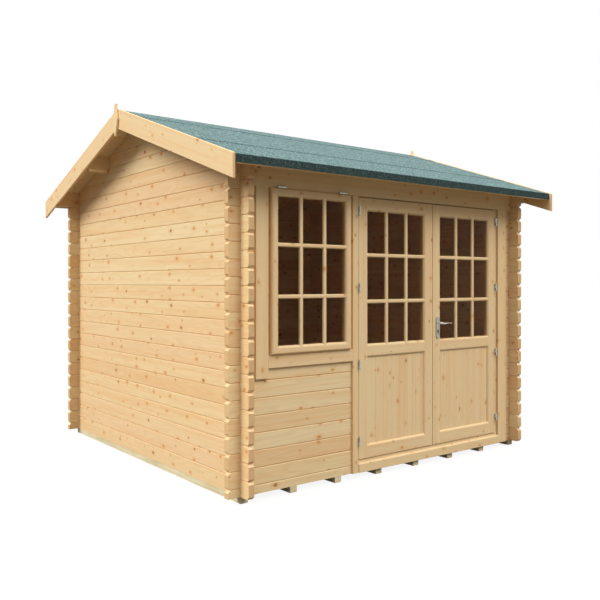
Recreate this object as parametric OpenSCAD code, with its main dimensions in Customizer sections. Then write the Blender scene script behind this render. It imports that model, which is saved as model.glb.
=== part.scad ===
// Log cabin: interlocking log walls on bearers, a felted ridge roof, a glazed double door and a window.
// Millimetres. The centre of the base is the origin, the front faces -Y and the ground is z = 0.

/* [Plan] */
// Width over the two gable walls
cabin_w = 2864; // [2700:1:3600]
// Depth over the front and back walls
cabin_d = 2864; // [2000:1:3600]

/* [Logs] */
// Height of one log
log_h = 114; // [95:1:140]
// Thickness of a log
log_t = 44; // [28:1:70]
// How far a log runs past the wall it crosses
log_end = 95; // [60:1:130]
// Full courses under the top log
courses = 18; // [16:1:22]
// Depth of the V joint between logs
joint_v = 5; // [2:0.5:8]
// Chamfer on a log's end
end_v = 18; // [8:1:24]
// Extra height planed to the roof slope on a top log
top_log_rise = 8; // [4:1:16]

/* [Base] */
// Width of a bearer
bearer_w = 58; // [38:1:100]
// Height of a bearer
bearer_h = 44; // [30:1:100]
// Number of bearers
bearer_n = 8; // [5:1:10]
// Thickness of the floor boards
floor_t = 19; // [12:1:28]

/* [Roof] */
// Roof pitch in degrees
pitch = 19; // [12:0.5:30]
// Overhang of the roof deck at the eaves
eaves_over = 237; // [120:1:400]
// Overhang of the roof deck past a gable wall
verge_over = 203; // [120:1:400]
// Thickness of the roof boards
deck_t = 19; // [12:1:28]
// Thickness of the roofing felt
felt_t = 3; // [2:0.5:5]
// Height of the felt turned down at the eaves
felt_drop = 55; // [40:1:90]
// Slope length of the felt seen from the eaves to the first lap
felt_lower = 498; // [300:1:700]
// Slope length of the felt seen from the second lap to the ridge
felt_upper = 351; // [200:1:600]
// Width of a felt lap
felt_lap = 75; // [50:1:120]
// Depth of a bargeboard across its face
barge_w = 148; // [100:1:200]
// Thickness of a bargeboard
barge_t = 20; // [15:1:28]
// Height of the bargeboards above the felt
barge_rise = 7; // [3:1:15]
// How far the bargeboards run past the roof deck at the eaves
barge_end = 22; // [5:1:40]
// Width of a purlin
purlin_w = 58; // [44:1:80]
// Height of a side purlin on its lower side
purlin_h = 118; // [90:1:150]
// Height of the ridge purlin's sides
ridge_h = 106; // [90:1:150]
// Distance of a side purlin from the ridge
purlin_from_ridge = 705; // [500:1:800]
// Chamfer along a side purlin's lower corners
purlin_chamfer = 18; // [5:1:25]
// Length of the cut under a side purlin's end
purlin_end_l = 28; // [10:1:60]
// Height of the cut under a side purlin's end
purlin_end_h = 46; // [20:1:70]
// Depth of the eaves batten
batten_w = 44; // [30:1:60]
// How far the felt hangs below the eaves batten
felt_under = 2; // [1:0.5:8]

/* [Finial] */
// Height of a finial
finial_h = 258; // [180:1:320]
// Width of a finial
finial_w = 86; // [60:1:120]
// Thickness of a finial
finial_t = 18; // [12:1:25]
// Height of the finial's top above the ridge felt
finial_up = 44; // [20:1:80]
// Width of the finial at its top
finial_top_w = 22; // [10:1:40]
// Width of the finial at its bottom
finial_tip_w = 12; // [6:1:40]
// Width of the finial at its shoulders
finial_neck_w = 47; // [30:1:60]
// Distance from the finial's top down to its shoulders
finial_neck_z = 72; // [40:1:90]
// Distance from the finial's top down to its widest point
finial_wide_z = 124; // [100:1:160]

/* [Trim] */
// Thickness of the trim boards
trim_t = 19; // [12:1:28]
// Width of the trim board beside the window
left_trim_w = 100; // [70:1:130]
// Where the trim board beside the window starts, from the gable's outer face
left_trim_x = 108; // [80:1:140]
// How far that trim board hangs under the window frame
left_trim_drop = 66; // [0:1:100]
// Width of the trim board beside the doors
right_trim_w = 110; // [70:1:130]
// Distance from the doorway to the trim board beside the doors
right_trim_out = 34; // [10:1:50]
// Height of the head board over the window and the doors
head_board_h = 136; // [100:1:180]
// Distance from the doorway's head up to the head board
head_board_up = 4; // [0:1:20]

/* [Window] */
// Height of the bottom of the window frame above the wall's bottom
sill_z = 820; // [600:1:1100]
// Height of the board under the sash
sill_board_h = 86; // [50:1:120]
// Overlap of that board on the logs under the window frame
sill_lap = 18; // [8:1:30]
// Distance from the trim board to the sash
sash_left = 16; // [8:1:40]
// Distance from the sash to the door post
sash_right = 29; // [8:1:50]
// Distance from the sash up to the top log
sash_top = 87; // [60:1:120]
// Overlap of the sash on its frame
sash_lap = 22; // [10:1:30]
// Depth of the sash
sash_t = 40; // [30:1:50]
// Bevel round the sash's outer edge
sash_bevel = 9; // [2:1:12]
// Face width of the sash's stiles and rails
sash_rail = 57; // [40:1:75]
// Width of an upright glazing bar
bar_w = 32; // [20:1:45]
// Height of a cross bar
cross_bar_w = 29; // [20:1:45]
// Height of the lower cross bar, as a share of the window's glass
window_bar_low = 0.329; // [0.28:0.001:0.4]
// Height of the upper cross bar, as a share of the window's glass
window_bar_high = 0.677; // [0.6:0.001:0.72]
// Distance from a sash's or a door's face to the face of its glazing bars
bar_in = 2; // [0:0.5:5]
// Thickness of the glass
glass_t = 4; // [3:0.5:8]
// Depth of the glass behind a sash's or a door's face
glass_in = 18; // [12:1:22]

/* [Doors] */
// Width of the doorway between its posts
doorway_w = 1594; // [1300:1:1700]
// Distance from the doorway's right post to the gable's outer face
doorway_right = 258; // [200:1:400]
// Width of the posts beside the doors
post_w = 55; // [45:1:90]
// Height of the rail over the doors
door_head_h = 91; // [60:1:120]
// Width of the stops that the doors close against
stop_w = 15; // [8:1:25]
// Height of the threshold under the doors
threshold_h = 91; // [60:1:120]
// Distance from the threshold's face to the wall's face
threshold_out = 7.5; // [2:0.5:12]
// Height of the board in front of the threshold
threshold_board_h = 69; // [40:1:80]
// Thickness of the board in front of the threshold
threshold_board_t = 24; // [15:1:30]
// Chamfer of that board's upper edge
threshold_chamfer = 8; // [2:1:12]
// Thickness of a door
leaf_t = 42; // [34:1:50]
// Distance from the wall's face to a door's face
leaf_out = 15; // [8:1:18]
// Gap round a door
leaf_gap = 6; // [5:0.5:10]
// Width of a door's stiles and top rail
stile_w = 95; // [75:1:120]
// Height of a door's bottom rail
bottom_rail_h = 102; // [80:1:160]
// Height of the lower panel
panel_h = 638; // [400:1:800]
// Height of the rail over the lower panel
mid_rail_h = 99; // [70:1:130]
// Thickness of the lower panel
panel_t = 18; // [12:1:22]
// Depth of the lower panel behind the door's face
panel_in = 14; // [8:1:18]
// Chamfer round the glazing and the panels
frame_chamfer = 12; // [4:1:16]
// Height of the lower cross bar, as a share of a door's glass
door_bar_low = 0.319; // [0.28:0.001:0.4]
// Height of the upper cross bar, as a share of a door's glass
door_bar_high = 0.669; // [0.6:0.001:0.72]

/* [Hinges] */
// Radius of a hinge barrel
barrel_r = 6; // [5:0.5:9]
// Height of a hinge barrel
barrel_h = 71; // [50:1:90]
// Distance from a door's face to the hinge axis
barrel_out = 15; // [12:1:20]
// Radius of a hinge pin
hinge_pin_r = 3; // [2:0.25:4]
// How far a pin reaches into the knuckle above it
pin_reach = 26; // [15:1:30]
// Number of hinges on a door
hinge_n = 4; // [2:1:5]
// Height of the lowest hinge above a door's bottom edge
hinge_low = 99; // [60:1:200]
// Distance from a door's top edge down to the highest hinge's foot
hinge_high = 135; // [100:1:250]
// Width of a hinge's arm
hinge_arm_w = 7; // [6:1:12]
// Height of a hinge's arm
hinge_arm_h = 22; // [12:1:28]
// Distance from a knuckle's foot up to its arm
hinge_arm_up = 6; // [2:1:10]
// Distance from the sash's side to the middle of a window hinge
window_hinge_in = 81; // [50:1:120]
// Length of a window hinge's leaf
window_leaf_l = 60; // [40:1:70]
// Thickness of a window hinge's leaf
window_leaf_t = 4; // [2:0.5:5]

/* [Handle] */
// Height of the lever's axis above the wall's bottom
lever_z = 1067; // [900:1:1200]
// Distance from the lever's axis to the door's meeting edge
lever_in = 54; // [45:1:75]
// Length of the lever
lever_l = 128; // [100:1:150]
// Width of a handle plate
plate_w = 37; // [34:1:50]
// Height of a handle plate
plate_h = 172; // [150:1:230]
// Distance from the lever's axis down to the plate's middle
plate_drop = 36; // [10:1:50]
// Thickness of a handle plate
plate_t = 8; // [5:1:10]
// Radius of the lever's spindle
spindle_r = 8; // [5:0.5:9]
// Distance from a handle plate to the lever
lever_out = 26; // [20:1:40]
// Thickness of the lever
lever_t = 13; // [8:1:16]
// Height of the lever at its spindle
lever_w = 20; // [17:1:24]
// Height of the lever at its tip, as a share of that
lever_taper = 0.4; // [0.3:0.05:1]
// How far the lever dips at its middle
lever_dip = 5; // [0:1:10]
// How far the lever's tip turns up
lever_curl = 7; // [0:1:15]
// Radius of the key cylinder
key_r = 9; // [7:0.5:10]
// Distance from the lever's axis down to the key cylinder
key_drop = 64; // [50:1:90]
// How far the key cylinder stands out of its plate
key_out = 3; // [1:0.5:6]

/* [Hidden] */
$fn = 48;
// Radial clearance of a running fit.
fit = 0.06;
// Clearance of a bore that nothing bears on.
loose = 6;
// Gap between flat pieces laid on each other on the roof's slope.
seat = 0.1;
// Gap between two pieces that are fitted end to end.
joint_gap = 2;
// Gap between a hinge's knuckles.
knuckle_gap = 0.5;
// How far a cutter runs past the face it cuts.
over = 1;
// A cutter's shift that keeps its bevel from lying on a face.
hair = 0.01;
tp = tan(pitch);
cp = cos(pitch);
// Heights, from the wall's bottom. The roof boards lie on a slope from roof_front, over the front
// wall's face, up to roof_ridge.
head_z = (courses + 0.5) * log_h;
roof_front = head_z + log_h + top_log_rise;
deck_v = deck_t / cp;
felt_v = felt_t / cp;
mid_y = cabin_d / 2;
roof_ridge = roof_front + mid_y * tp;
deck_top_ridge = roof_ridge + seat + deck_v;
felt_top_ridge = deck_top_ridge + seat + felt_v;
eave_y = -eaves_over;
// Front assembly, from the left gable's outer face.
door_x1 = cabin_w - doorway_right;
door_x0 = door_x1 - doorway_w;
post_x0 = door_x0 - post_w;
left_trim_x1 = left_trim_x + left_trim_w;
win_cut_x = left_trim_x + left_trim_w / 2;
leaf_w = (doorway_w - 3 * leaf_gap) / 2;
leaf_z0 = threshold_h + leaf_gap;
door_head_z = head_z - door_head_h;
leaf_z1 = door_head_z - leaf_gap;
leaf_y0 = -leaf_out;
leaf_y1 = leaf_y0 + leaf_t;
stop_y = leaf_y1 + leaf_gap;
post_y1 = log_t + trim_t;
right_wall_x = door_x1 + post_w;
right_trim_x = door_x1 + right_trim_out;
head_board_z = door_head_z + head_board_up;
// Sash.
window_frame_z = sill_z + sill_lap;
sash_x0 = left_trim_x1 + sash_left;
sash_x1 = post_x0 - sash_right;
sash_z0 = sill_z + sill_board_h + joint_gap;
sash_z1 = head_z - sash_top;
sash_y0 = -sash_t;
sash_glass_y = sash_y0 + glass_in;
// Door glazing.
left_leaf_x = door_x0 + leaf_gap;
right_leaf_x = left_leaf_x + leaf_w + leaf_gap;
panel_z0 = leaf_z0 + bottom_rail_h;
panel_z1 = panel_z0 + panel_h;
pane_z0 = panel_z1 + mid_rail_h;
pane_z1 = leaf_z1 - stile_w;
leaf_glass_y = leaf_y0 + glass_in;
// Hinge axes.
hinge_y = leaf_y0 - barrel_out;
left_hinge_x = door_x0 + leaf_gap / 2;
right_hinge_x = door_x1 - leaf_gap / 2;
hinge_z0 = leaf_z0 + hinge_low;
hinge_step = (leaf_z1 - hinge_high - hinge_z0) / (hinge_n - 1);
hinge_zs = [for (i = [0 : hinge_n - 1]) hinge_z0 + i * hinge_step];
knuckle_h = barrel_h / 2;
// Handle.
lever_x = right_leaf_x + lever_in;
purlin_y = mid_y - purlin_from_ridge;

wood = [0.87, 0.74, 0.55];
wood_light = [0.92, 0.80, 0.61];
treated = [0.66, 0.64, 0.50];
felt_green = [0.50, 0.62, 0.60];
steel = [0.75, 0.76, 0.78];
pane = [0.45, 0.50, 0.52, 0.5];

// ---- placing ----

// From the wall corner (left gable's outer face, front wall's outer face, wall's bottom) to the origin.
module site() {
    translate([-cabin_w / 2, -cabin_d / 2, bearer_h]) children();
}

// An X-Z outline made solid from y0 to y1.
module along_y(y0, y1) {
    translate([0, y1, 0]) rotate([90, 0, 0]) linear_extrude(y1 - y0) children();
}

// A Y-Z outline made solid from x0 to x1.
module along_x(x0, x1) {
    translate([x0, 0, 0]) rotate([90, 0, 90]) linear_extrude(x1 - x0) children();
}

module box(x0, x1, y0, y1, z0, z1) {
    translate([x0, y0, z0]) cube([x1 - x0, y1 - y0, z1 - z0]);
}

// The back half of the roof repeats the front half.
module to_back() {
    translate([0, cabin_d, 0]) mirror([0, 1, 0]) children();
}

module to_right() {
    translate([cabin_w, 0, 0]) mirror([1, 0, 0]) children();
}

// ---- logs ----

// A square V of depth d, cut into an outline's edge at x and z: side is +1 on a right-hand edge.
module v_cut(x, z, side, d) {
    polygon([[x + side * over, z - d - over], [x - side * d, z], [x + side * over, z + d + over]]);
}

// Section of a stack of logs of thickness log_t, with a V joint on both faces at each height in zs.
module log_section(z0, z1, zs) {
    difference() {
        translate([0, z0]) square([log_t, z1 - z0]);
        for (z = zs) {
            v_cut(0, z, -1, joint_v);
            v_cut(log_t, z, 1, joint_v);
        }
    }
}

// The V's between the log ends at x.
module end_notches(x, side, zs) {
    for (z = zs) {
        v_cut(x, z, side, end_v);
    }
}

// Slots for the crossing logs at x0 to x0 + log_t; low is the height of the first slot's middle.
module cross_slots(x0, low, n) {
    for (i = [0 : n]) {
        translate([x0, low + i * log_h - log_h / 4]) square([log_t, log_h / 2]);
    }
}

gable_courses = ceil(roof_ridge / log_h);
full_joints = [for (i = [1 : gable_courses]) i * log_h];
half_joints = [for (i = [0 : courses]) (i + 0.5) * log_h];

// Outline of a front or back wall up to its top log.
module eaves_wall_outline(x0, x1) {
    difference() {
        translate([x0, 0]) square([x1 - x0, head_z]);
        end_notches(-log_end, -1, half_joints);
        end_notches(cabin_w + log_end, 1, half_joints);
        cross_slots(0, log_h / 2, courses);
        cross_slots(cabin_w - log_t, log_h / 2, courses);
    }
}

module eaves_wall(x0, x1, y0) {
    intersection() {
        along_y(y0, y0 + log_t) eaves_wall_outline(x0, x1);
        along_x(x0, x1) translate([y0, 0]) log_section(0, head_z, half_joints);
    }
}

module front_wall_left() {
    color(wood) site() intersection() {
        along_y(0, log_t) difference() {
            eaves_wall_outline(-log_end, post_x0);
            translate([win_cut_x, window_frame_z]) square([post_x0, head_z]);
        }
        along_x(-log_end, post_x0) log_section(0, head_z, half_joints);
    }
}

module front_wall_right() {
    color(wood) site() eaves_wall(right_wall_x, cabin_w + log_end, 0);
}

module back_wall() {
    color(wood) site() eaves_wall(-log_end, cabin_w + log_end, cabin_d - log_t);
}

// A top log runs out to the bargeboards and is planed to the roof's slope.
module top_log() {
    difference() {
        along_x(-verge_over, cabin_w + verge_over) polygon([[0, head_z + joint_v], [joint_v, head_z],
            [log_t - joint_v, head_z], [log_t, head_z + joint_v],
            [log_t, roof_front + log_t * tp], [0, roof_front]]);
        for (x = [0, cabin_w - log_t]) {
            box(x, x + log_t, -over, log_t + over, head_z - over, head_z + log_h / 4);
            box(x, x + log_t, -over, log_t + over, head_z + log_h * 3 / 4, head_z + log_h * 2);
        }
    }
}

module top_logs() {
    color(wood) site() {
        top_log();
        to_back() top_log();
    }
}

// Cross-section of a purlin with its lower corners planed off and its top planed to the roof.
// Raised by rise at the top, it cuts a pocket that is open upwards.
module purlin_section(rise = 0) {
    z1 = roof_front + (purlin_y - purlin_w / 2) * tp;
    z2 = z1 + purlin_w * tp;
    z0 = z1 - purlin_h;
    y0 = purlin_y - purlin_w / 2;
    y1 = purlin_y + purlin_w / 2;
    c = purlin_chamfer;
    polygon([[y0, z1 + rise], [y0, z0 + c], [y0 + c, z0], [y1 - c, z0], [y1, z0 + c],
        [y1, z2 + rise]]);
}

module ridge_section(rise = 0) {
    z1 = roof_ridge - purlin_w / 2 * tp;
    z0 = z1 - ridge_h;
    y0 = mid_y - purlin_w / 2;
    y1 = mid_y + purlin_w / 2;
    polygon([[y0, z1 + rise], [y0, z0], [y1, z0], [y1, z1 + rise], [mid_y, roof_ridge + rise]]);
}

// Gable wall: full logs from the floor up into the triangle, cut to the roof and for the purlins.
module gable_outline() {
    notches = [for (i = [0 : courses + 1]) i * log_h];
    difference() {
        polygon([[-log_end, 0], [cabin_d + log_end, 0],
            [cabin_d + log_end, roof_front - log_end * tp], [mid_y, roof_ridge],
            [-log_end, roof_front - log_end * tp]]);
        end_notches(-log_end, -1, notches);
        end_notches(cabin_d + log_end, 1, notches);
        cross_slots(0, 0, courses + 1);
        cross_slots(cabin_d - log_t, 0, courses + 1);
        purlin_section(log_t);
        translate([cabin_d, 0]) mirror([1, 0]) purlin_section(log_t);
        ridge_section(log_t);
    }
}

module gable_wall() {
    intersection() {
        along_x(0, log_t) gable_outline();
        along_y(-log_end, cabin_d + log_end) log_section(0, roof_ridge, full_joints);
    }
}

module left_gable_wall() {
    color(wood) site() gable_wall();
}

module right_gable_wall() {
    color(wood) site() to_right() gable_wall();
}

// ---- base ----

module bearers() {
    step = (cabin_w - bearer_w) / (bearer_n - 1);
    color(treated) site() for (i = [0 : bearer_n - 1]) {
        box(i * step, i * step + bearer_w, 0, cabin_d, -bearer_h, 0);
    }
}

module floor() {
    color(wood_light) site() difference() {
        box(log_t, cabin_w - log_t, log_t, cabin_d - log_t, 0, floor_t);
        box(post_x0, right_wall_x, 0, post_y1, -over, floor_t + over);
    }
}

// ---- roof ----

module side_purlin() {
    x0 = -verge_over;
    x1 = cabin_w + verge_over;
    z0 = roof_front + (purlin_y - purlin_w / 2) * tp - purlin_h;
    intersection() {
        along_x(x0, x1) purlin_section();
        along_y(0, cabin_d) polygon([[x0, z0 + purlin_end_h], [x0 + purlin_end_l, z0],
            [x1 - purlin_end_l, z0], [x1, z0 + purlin_end_h], [x1, roof_ridge], [x0, roof_ridge]]);
    }
}

module ridge_purlin() {
    color(wood) site() along_x(-verge_over, cabin_w + verge_over) ridge_section();
}

module side_purlins() {
    color(wood) site() {
        side_purlin();
        to_back() side_purlin();
    }
}

// Height of the deck's underside at depth y on the front slope.
function under(y) = roof_front + seat + y * tp;

module roof_deck() {
    along_x(-verge_over, cabin_w + verge_over) polygon([[eave_y, under(eave_y)],
        [mid_y, under(mid_y)], [mid_y, deck_top_ridge], [eave_y, under(eave_y) + deck_v]]);
}

module front_roof_deck() {
    color(wood_light) site() roof_deck();
}

module back_roof_deck() {
    color(wood_light) site() to_back() roof_deck();
}

felt_edge_z = under(eave_y) + deck_v + felt_v - felt_drop;

module eaves_batten() {
    y1 = eave_y + batten_w;
    z0 = felt_edge_z + felt_under;
    along_x(-verge_over, cabin_w + verge_over) polygon([[eave_y, z0], [y1, z0],
        [y1, under(y1) - seat], [eave_y, under(eave_y) - seat]]);
}

module eaves_battens() {
    color(wood) site() {
        eaves_batten();
        to_back() eaves_batten();
    }
}

// A point on the front slope: s along the slope from the eaves edge, u above the felt's bed.
function roof_pt(s, u) = [eave_y + s * cp,
    under(eave_y) + deck_v + s * sin(pitch) + (u + seat) / cp];
slope_l = (mid_y - eave_y) / cp;
lap_1 = felt_lower;
lap_2 = slope_l - felt_upper;

module eaves_felt() {
    s1 = lap_1 + felt_lap;
    y0 = eave_y - seat - felt_t;
    along_x(-verge_over, cabin_w + verge_over) polygon([roof_pt(0, 0), roof_pt(s1, 0),
        roof_pt(s1, felt_t), [y0, roof_pt(0, felt_t)[1] - (felt_t + seat) * tp], [y0, felt_edge_z],
        [eave_y - seat, felt_edge_z], [eave_y - seat, roof_pt(0, 0)[1]]]);
}

// A strip that laps over the one below it, then bends down to lie on the deck.
module upper_felt(s0, s1) {
    s_bend = s0 + felt_lap + seat;
    low = felt_t + seat;
    along_x(-verge_over, cabin_w + verge_over) polygon([roof_pt(s0, low), roof_pt(s_bend, low),
        roof_pt(s_bend, 0), roof_pt(s1, 0), roof_pt(s1, felt_t),
        roof_pt(s_bend + 2 * felt_t, felt_t), roof_pt(s_bend, felt_t + low),
        roof_pt(s0, felt_t + low)]);
}

module front_eaves_felt() {
    color(felt_green) site() eaves_felt();
}

module back_eaves_felt() {
    color(felt_green) site() to_back() eaves_felt();
}

module front_middle_felt() {
    color(felt_green) site() upper_felt(lap_1, lap_2 + felt_lap);
}

module back_middle_felt() {
    color(felt_green) site() to_back() upper_felt(lap_1, lap_2 + felt_lap);
}

module ridge_felt() {
    color(felt_green) site() {
        upper_felt(lap_2, slope_l);
        to_back() upper_felt(lap_2, slope_l);
    }
}

// One gable's pair of bargeboards, meeting at the ridge, with upright ends.
module bargeboards() {
    top = felt_top_ridge + barge_rise;
    low = top - barge_w / cp;
    run = mid_y + eaves_over + barge_end;
    along_x(-verge_over - barge_t, -verge_over) polygon([[mid_y, top],
        [mid_y + run, top - run * tp], [mid_y + run, low - run * tp], [mid_y, low],
        [mid_y - run, low - run * tp], [mid_y - run, top - run * tp]]);
}

module left_bargeboards() {
    color(wood_light) site() bargeboards();
}

module right_bargeboards() {
    color(wood_light) site() to_right() bargeboards();
}

module finial() {
    z1 = felt_top_ridge + finial_up;
    z0 = z1 - finial_h;
    x0 = -verge_over - barge_t - finial_t;
    outline = [[finial_top_w / 2, z1], [finial_neck_w / 2, z1 - finial_neck_z],
        [finial_w / 2, z1 - finial_wide_z], [finial_tip_w / 2, z0]];
    along_x(x0, x0 + finial_t) translate([mid_y, 0]) polygon([for (p = outline) p,
        for (i = [len(outline) - 1 : -1 : 0]) [-outline[i][0], outline[i][1]]]);
}

module finials() {
    color(wood_light) site() {
        finial();
        to_right() finial();
    }
}

// ---- joinery ----

// A block from y0 (front) to y1 whose front edges are planed by c: grow is +1 for a cutter, -1 for a solid.
module bevelled(x0, x1, z0, z1, y0, y1, c, grow) {
    g = c * grow;
    intersection() {
        translate([0, 0, z0 - max(g, 0)]) linear_extrude(z1 - z0 + 2 * max(g, 0)) polygon([[x0, y1],
            [x0, y0 + c], [x0 - g, y0], [x1 + g, y0], [x1, y0 + c], [x1, y1]]);
        along_x(x0 - max(g, 0), x1 + max(g, 0)) polygon([[y1, z0], [y0 + c, z0], [y0, z0 - g],
            [y0, z1 + g], [y0 + c, z1], [y1, z1]]);
    }
}

// Window frame within the wall's thickness.
module window_frame() {
    color(wood_light) site() difference() {
        box(win_cut_x, post_x0, 0, log_t, window_frame_z, head_z);
        box(sash_x0 + sash_lap, sash_x1 - sash_lap, -over, log_t + over, sash_z0 + sash_lap,
            sash_z1 - sash_lap);
    }
}

module window_sill_board() {
    color(wood_light) site() box(left_trim_x1, post_x0, -trim_t, 0, sill_z,
        sill_z + sill_board_h);
}

// The sash's opening.
light_x0 = sash_x0 + sash_rail;
light_x1 = sash_x1 - sash_rail;
light_z0 = sash_z0 + sash_rail;
light_z1 = sash_z1 - sash_rail;

module window_sash() {
    color(wood_light) site() difference() {
        bevelled(sash_x0, sash_x1, sash_z0, sash_z1, sash_y0, 0, sash_bevel, -1);
        box(light_x0, light_x1, sash_y0 - over, over, light_z0, light_z1);
        bevelled(light_x0, light_x1, light_z0, light_z1, sash_y0 - hair, over, frame_chamfer, 1);
    }
}

// Section of a glazing bar of width w: a flat back against the glass at y1 and a planed face at y0.
module bar_section(w, y0, y1) {
    edge = (y1 - y0) / 4;
    side = [[0.5, y1], [0.5, y1 - edge], [0.36, y0 + edge], [0.21, y0]];
    polygon([for (p = side) [p[0] * w, p[1]], for (i = [3 : -1 : 0]) [-side[i][0] * w, side[i][1]]]);
}

// Three panes by three: bars between x0 to x1 and z0 to z1, with cross bars at two shares of the height.
module glazing_bars(x0, x1, z0, z1, shares, y0, y1) {
    pane_w = (x1 - x0 - 2 * bar_w) / 3;
    for (i = [1, 2]) {
        translate([x0 + i * pane_w + (i - 0.5) * bar_w, 0, z0]) linear_extrude(z1 - z0)
            bar_section(bar_w, y0, y1);
    }
    for (share = shares) {
        translate([x0, 0, z0 + share * (z1 - z0)]) rotate([0, 90, 0]) linear_extrude(x1 - x0)
            bar_section(cross_bar_w, y0, y1);
    }
}

module window_bars() {
    color(wood_light) site() glazing_bars(light_x0, light_x1, light_z0, light_z1,
        [window_bar_low, window_bar_high], sash_y0 + bar_in, sash_glass_y);
}

module window_glass() {
    color(pane) site() box(light_x0, light_x1, sash_glass_y, sash_glass_y + glass_t, light_z0,
        light_z1);
}

// Butt hinges along the top of the fixed sash.
module window_hinges() {
    y0 = sash_y0 + over;
    z = sash_z1 + barrel_r;
    color(steel) site() for (x = [sash_x0 + window_hinge_in, sash_x1 - window_hinge_in]) {
        x0 = x - window_leaf_l / 2;
        x1 = x + window_leaf_l / 2;
        translate([x - barrel_h / 2, y0, z]) rotate([0, 90, 0]) cylinder(h = barrel_h, r = barrel_r);
        box(x0, x1, y0, y0 + window_leaf_t, sash_z1, z);
        box(x0, x1, y0, -trim_t, z - window_leaf_t / 2, z + window_leaf_t / 2);
    }
}

module head_board() {
    color(wood_light) site() box(log_t + joint_gap, cabin_w - log_t - joint_gap, -trim_t, 0,
        head_board_z, head_board_z + head_board_h);
}

module left_trim_board() {
    color(wood_light) site() box(left_trim_x, left_trim_x1, -trim_t, 0, sill_z - left_trim_drop,
        head_board_z);
}

module right_trim_board() {
    color(wood_light) site() box(right_trim_x, right_trim_x + right_trim_w, -trim_t, 0, 0,
        head_board_z);
}

// Posts and head of the doorway, with the stops that the doors close against.
module door_frame() {
    color(wood_light) site() {
        box(post_x0, door_x0, -trim_t, post_y1, 0, head_board_z);
        box(post_x0, door_x0, 0, post_y1, head_board_z, head_z);
        box(door_x0, door_x0 + stop_w, stop_y, post_y1, threshold_h, door_head_z);
        box(door_x1, right_wall_x, 0, post_y1, 0, head_z);
        box(door_x1 - stop_w, door_x1, stop_y, post_y1, threshold_h, door_head_z);
        box(door_x0, door_x1, 0, post_y1, door_head_z, head_z);
        box(door_x0 + stop_w, door_x1 - stop_w, stop_y, post_y1, door_head_z - stop_w, door_head_z);
    }
}

module door_threshold() {
    t = threshold_board_t;
    c = threshold_chamfer;
    color(wood_light) site() {
        box(door_x0, door_x1, -threshold_out, post_y1, 0, threshold_h);
        along_x(door_x0, right_trim_x) polygon([[0, 0], [-t, 0], [-t, threshold_board_h - c],
            [c - t, threshold_board_h], [0, threshold_board_h]]);
    }
}

// A hinge's arm back to the wood at y1, on the side s of the hinge axis x.
module hinge_arm(x, z, s, y1) {
    a = x + s * leaf_gap / 2;
    b = a + s * hinge_arm_w;
    box(min(a, b), max(a, b), hinge_y, y1, z + hinge_arm_up, z + hinge_arm_up + hinge_arm_h);
}

// Fixed lower knuckle with its pin; s is +1 on the left door and -1 on the right one.
module fixed_knuckle(x, z, s, y1) {
    translate([x, hinge_y, z]) cylinder(h = knuckle_h - knuckle_gap, r = barrel_r);
    translate([x, hinge_y, z]) cylinder(h = knuckle_h + pin_reach, r = hinge_pin_r);
    hinge_arm(x, z, -s, y1);
}

module door_hinge_pins() {
    color(steel) site() for (z = hinge_zs) {
        fixed_knuckle(left_hinge_x, z, 1, -trim_t);
        fixed_knuckle(right_hinge_x, z, -1, 0);
    }
}

// Moving upper knuckle with the pin's bore.
module moving_knuckle(x, z, s) {
    difference() {
        union() {
            translate([x, hinge_y, z + knuckle_h]) cylinder(h = knuckle_h, r = barrel_r);
            hinge_arm(x, z + knuckle_h, s, leaf_y0);
        }
        translate([x, hinge_y, z + knuckle_h - over]) cylinder(h = pin_reach + 2 * over,
            r = hinge_pin_r + fit);
    }
}

module left_door_hinges() {
    color(steel) site() for (z = hinge_zs) {
        moving_knuckle(left_hinge_x, z, 1);
    }
}

module right_door_hinges() {
    color(steel) site() for (z = hinge_zs) {
        moving_knuckle(right_hinge_x, z, -1);
    }
}

// ---- doors ----

module leaf_frame(x) {
    x0 = x + stile_w;
    x1 = x + leaf_w - stile_w;
    difference() {
        box(x, x + leaf_w, leaf_y0, leaf_y1, leaf_z0, leaf_z1);
        for (z = [[panel_z0, panel_z1], [pane_z0, pane_z1]]) {
            box(x0, x1, leaf_y0 - over, leaf_y1 + over, z[0], z[1]);
            bevelled(x0, x1, z[0], z[1], leaf_y0 - hair, leaf_y1 + over, frame_chamfer, 1);
        }
    }
}

module leaf_bars(x) {
    glazing_bars(x + stile_w, x + leaf_w - stile_w, pane_z0, pane_z1,
        [door_bar_low, door_bar_high], leaf_y0 + bar_in, leaf_glass_y);
}

module leaf_panel(x) {
    box(x + stile_w, x + leaf_w - stile_w, leaf_y0 + panel_in, leaf_y0 + panel_in + panel_t,
        panel_z0, panel_z1);
}

module leaf_glass(x) {
    box(x + stile_w, x + leaf_w - stile_w, leaf_glass_y, leaf_glass_y + glass_t, pane_z0, pane_z1);
}

module left_door_frame() {
    color(wood_light) site() leaf_frame(left_leaf_x);
}

module left_door_bars() {
    color(wood_light) site() leaf_bars(left_leaf_x);
}

module left_door_panel() {
    color(wood_light) site() leaf_panel(left_leaf_x);
}

module left_door_glass() {
    color(pane) site() leaf_glass(left_leaf_x);
}

module right_door_frame() {
    color(wood_light) site() difference() {
        leaf_frame(right_leaf_x);
        translate([lever_x, leaf_y1 + over, lever_z]) rotate([90, 0, 0])
            cylinder(h = leaf_t + 2 * over, r = spindle_r + loose);
    }
}

module right_door_bars() {
    color(wood_light) site() leaf_bars(right_leaf_x);
}

module right_door_panel() {
    color(wood_light) site() leaf_panel(right_leaf_x);
}

module right_door_glass() {
    color(pane) site() leaf_glass(right_leaf_x);
}

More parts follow.
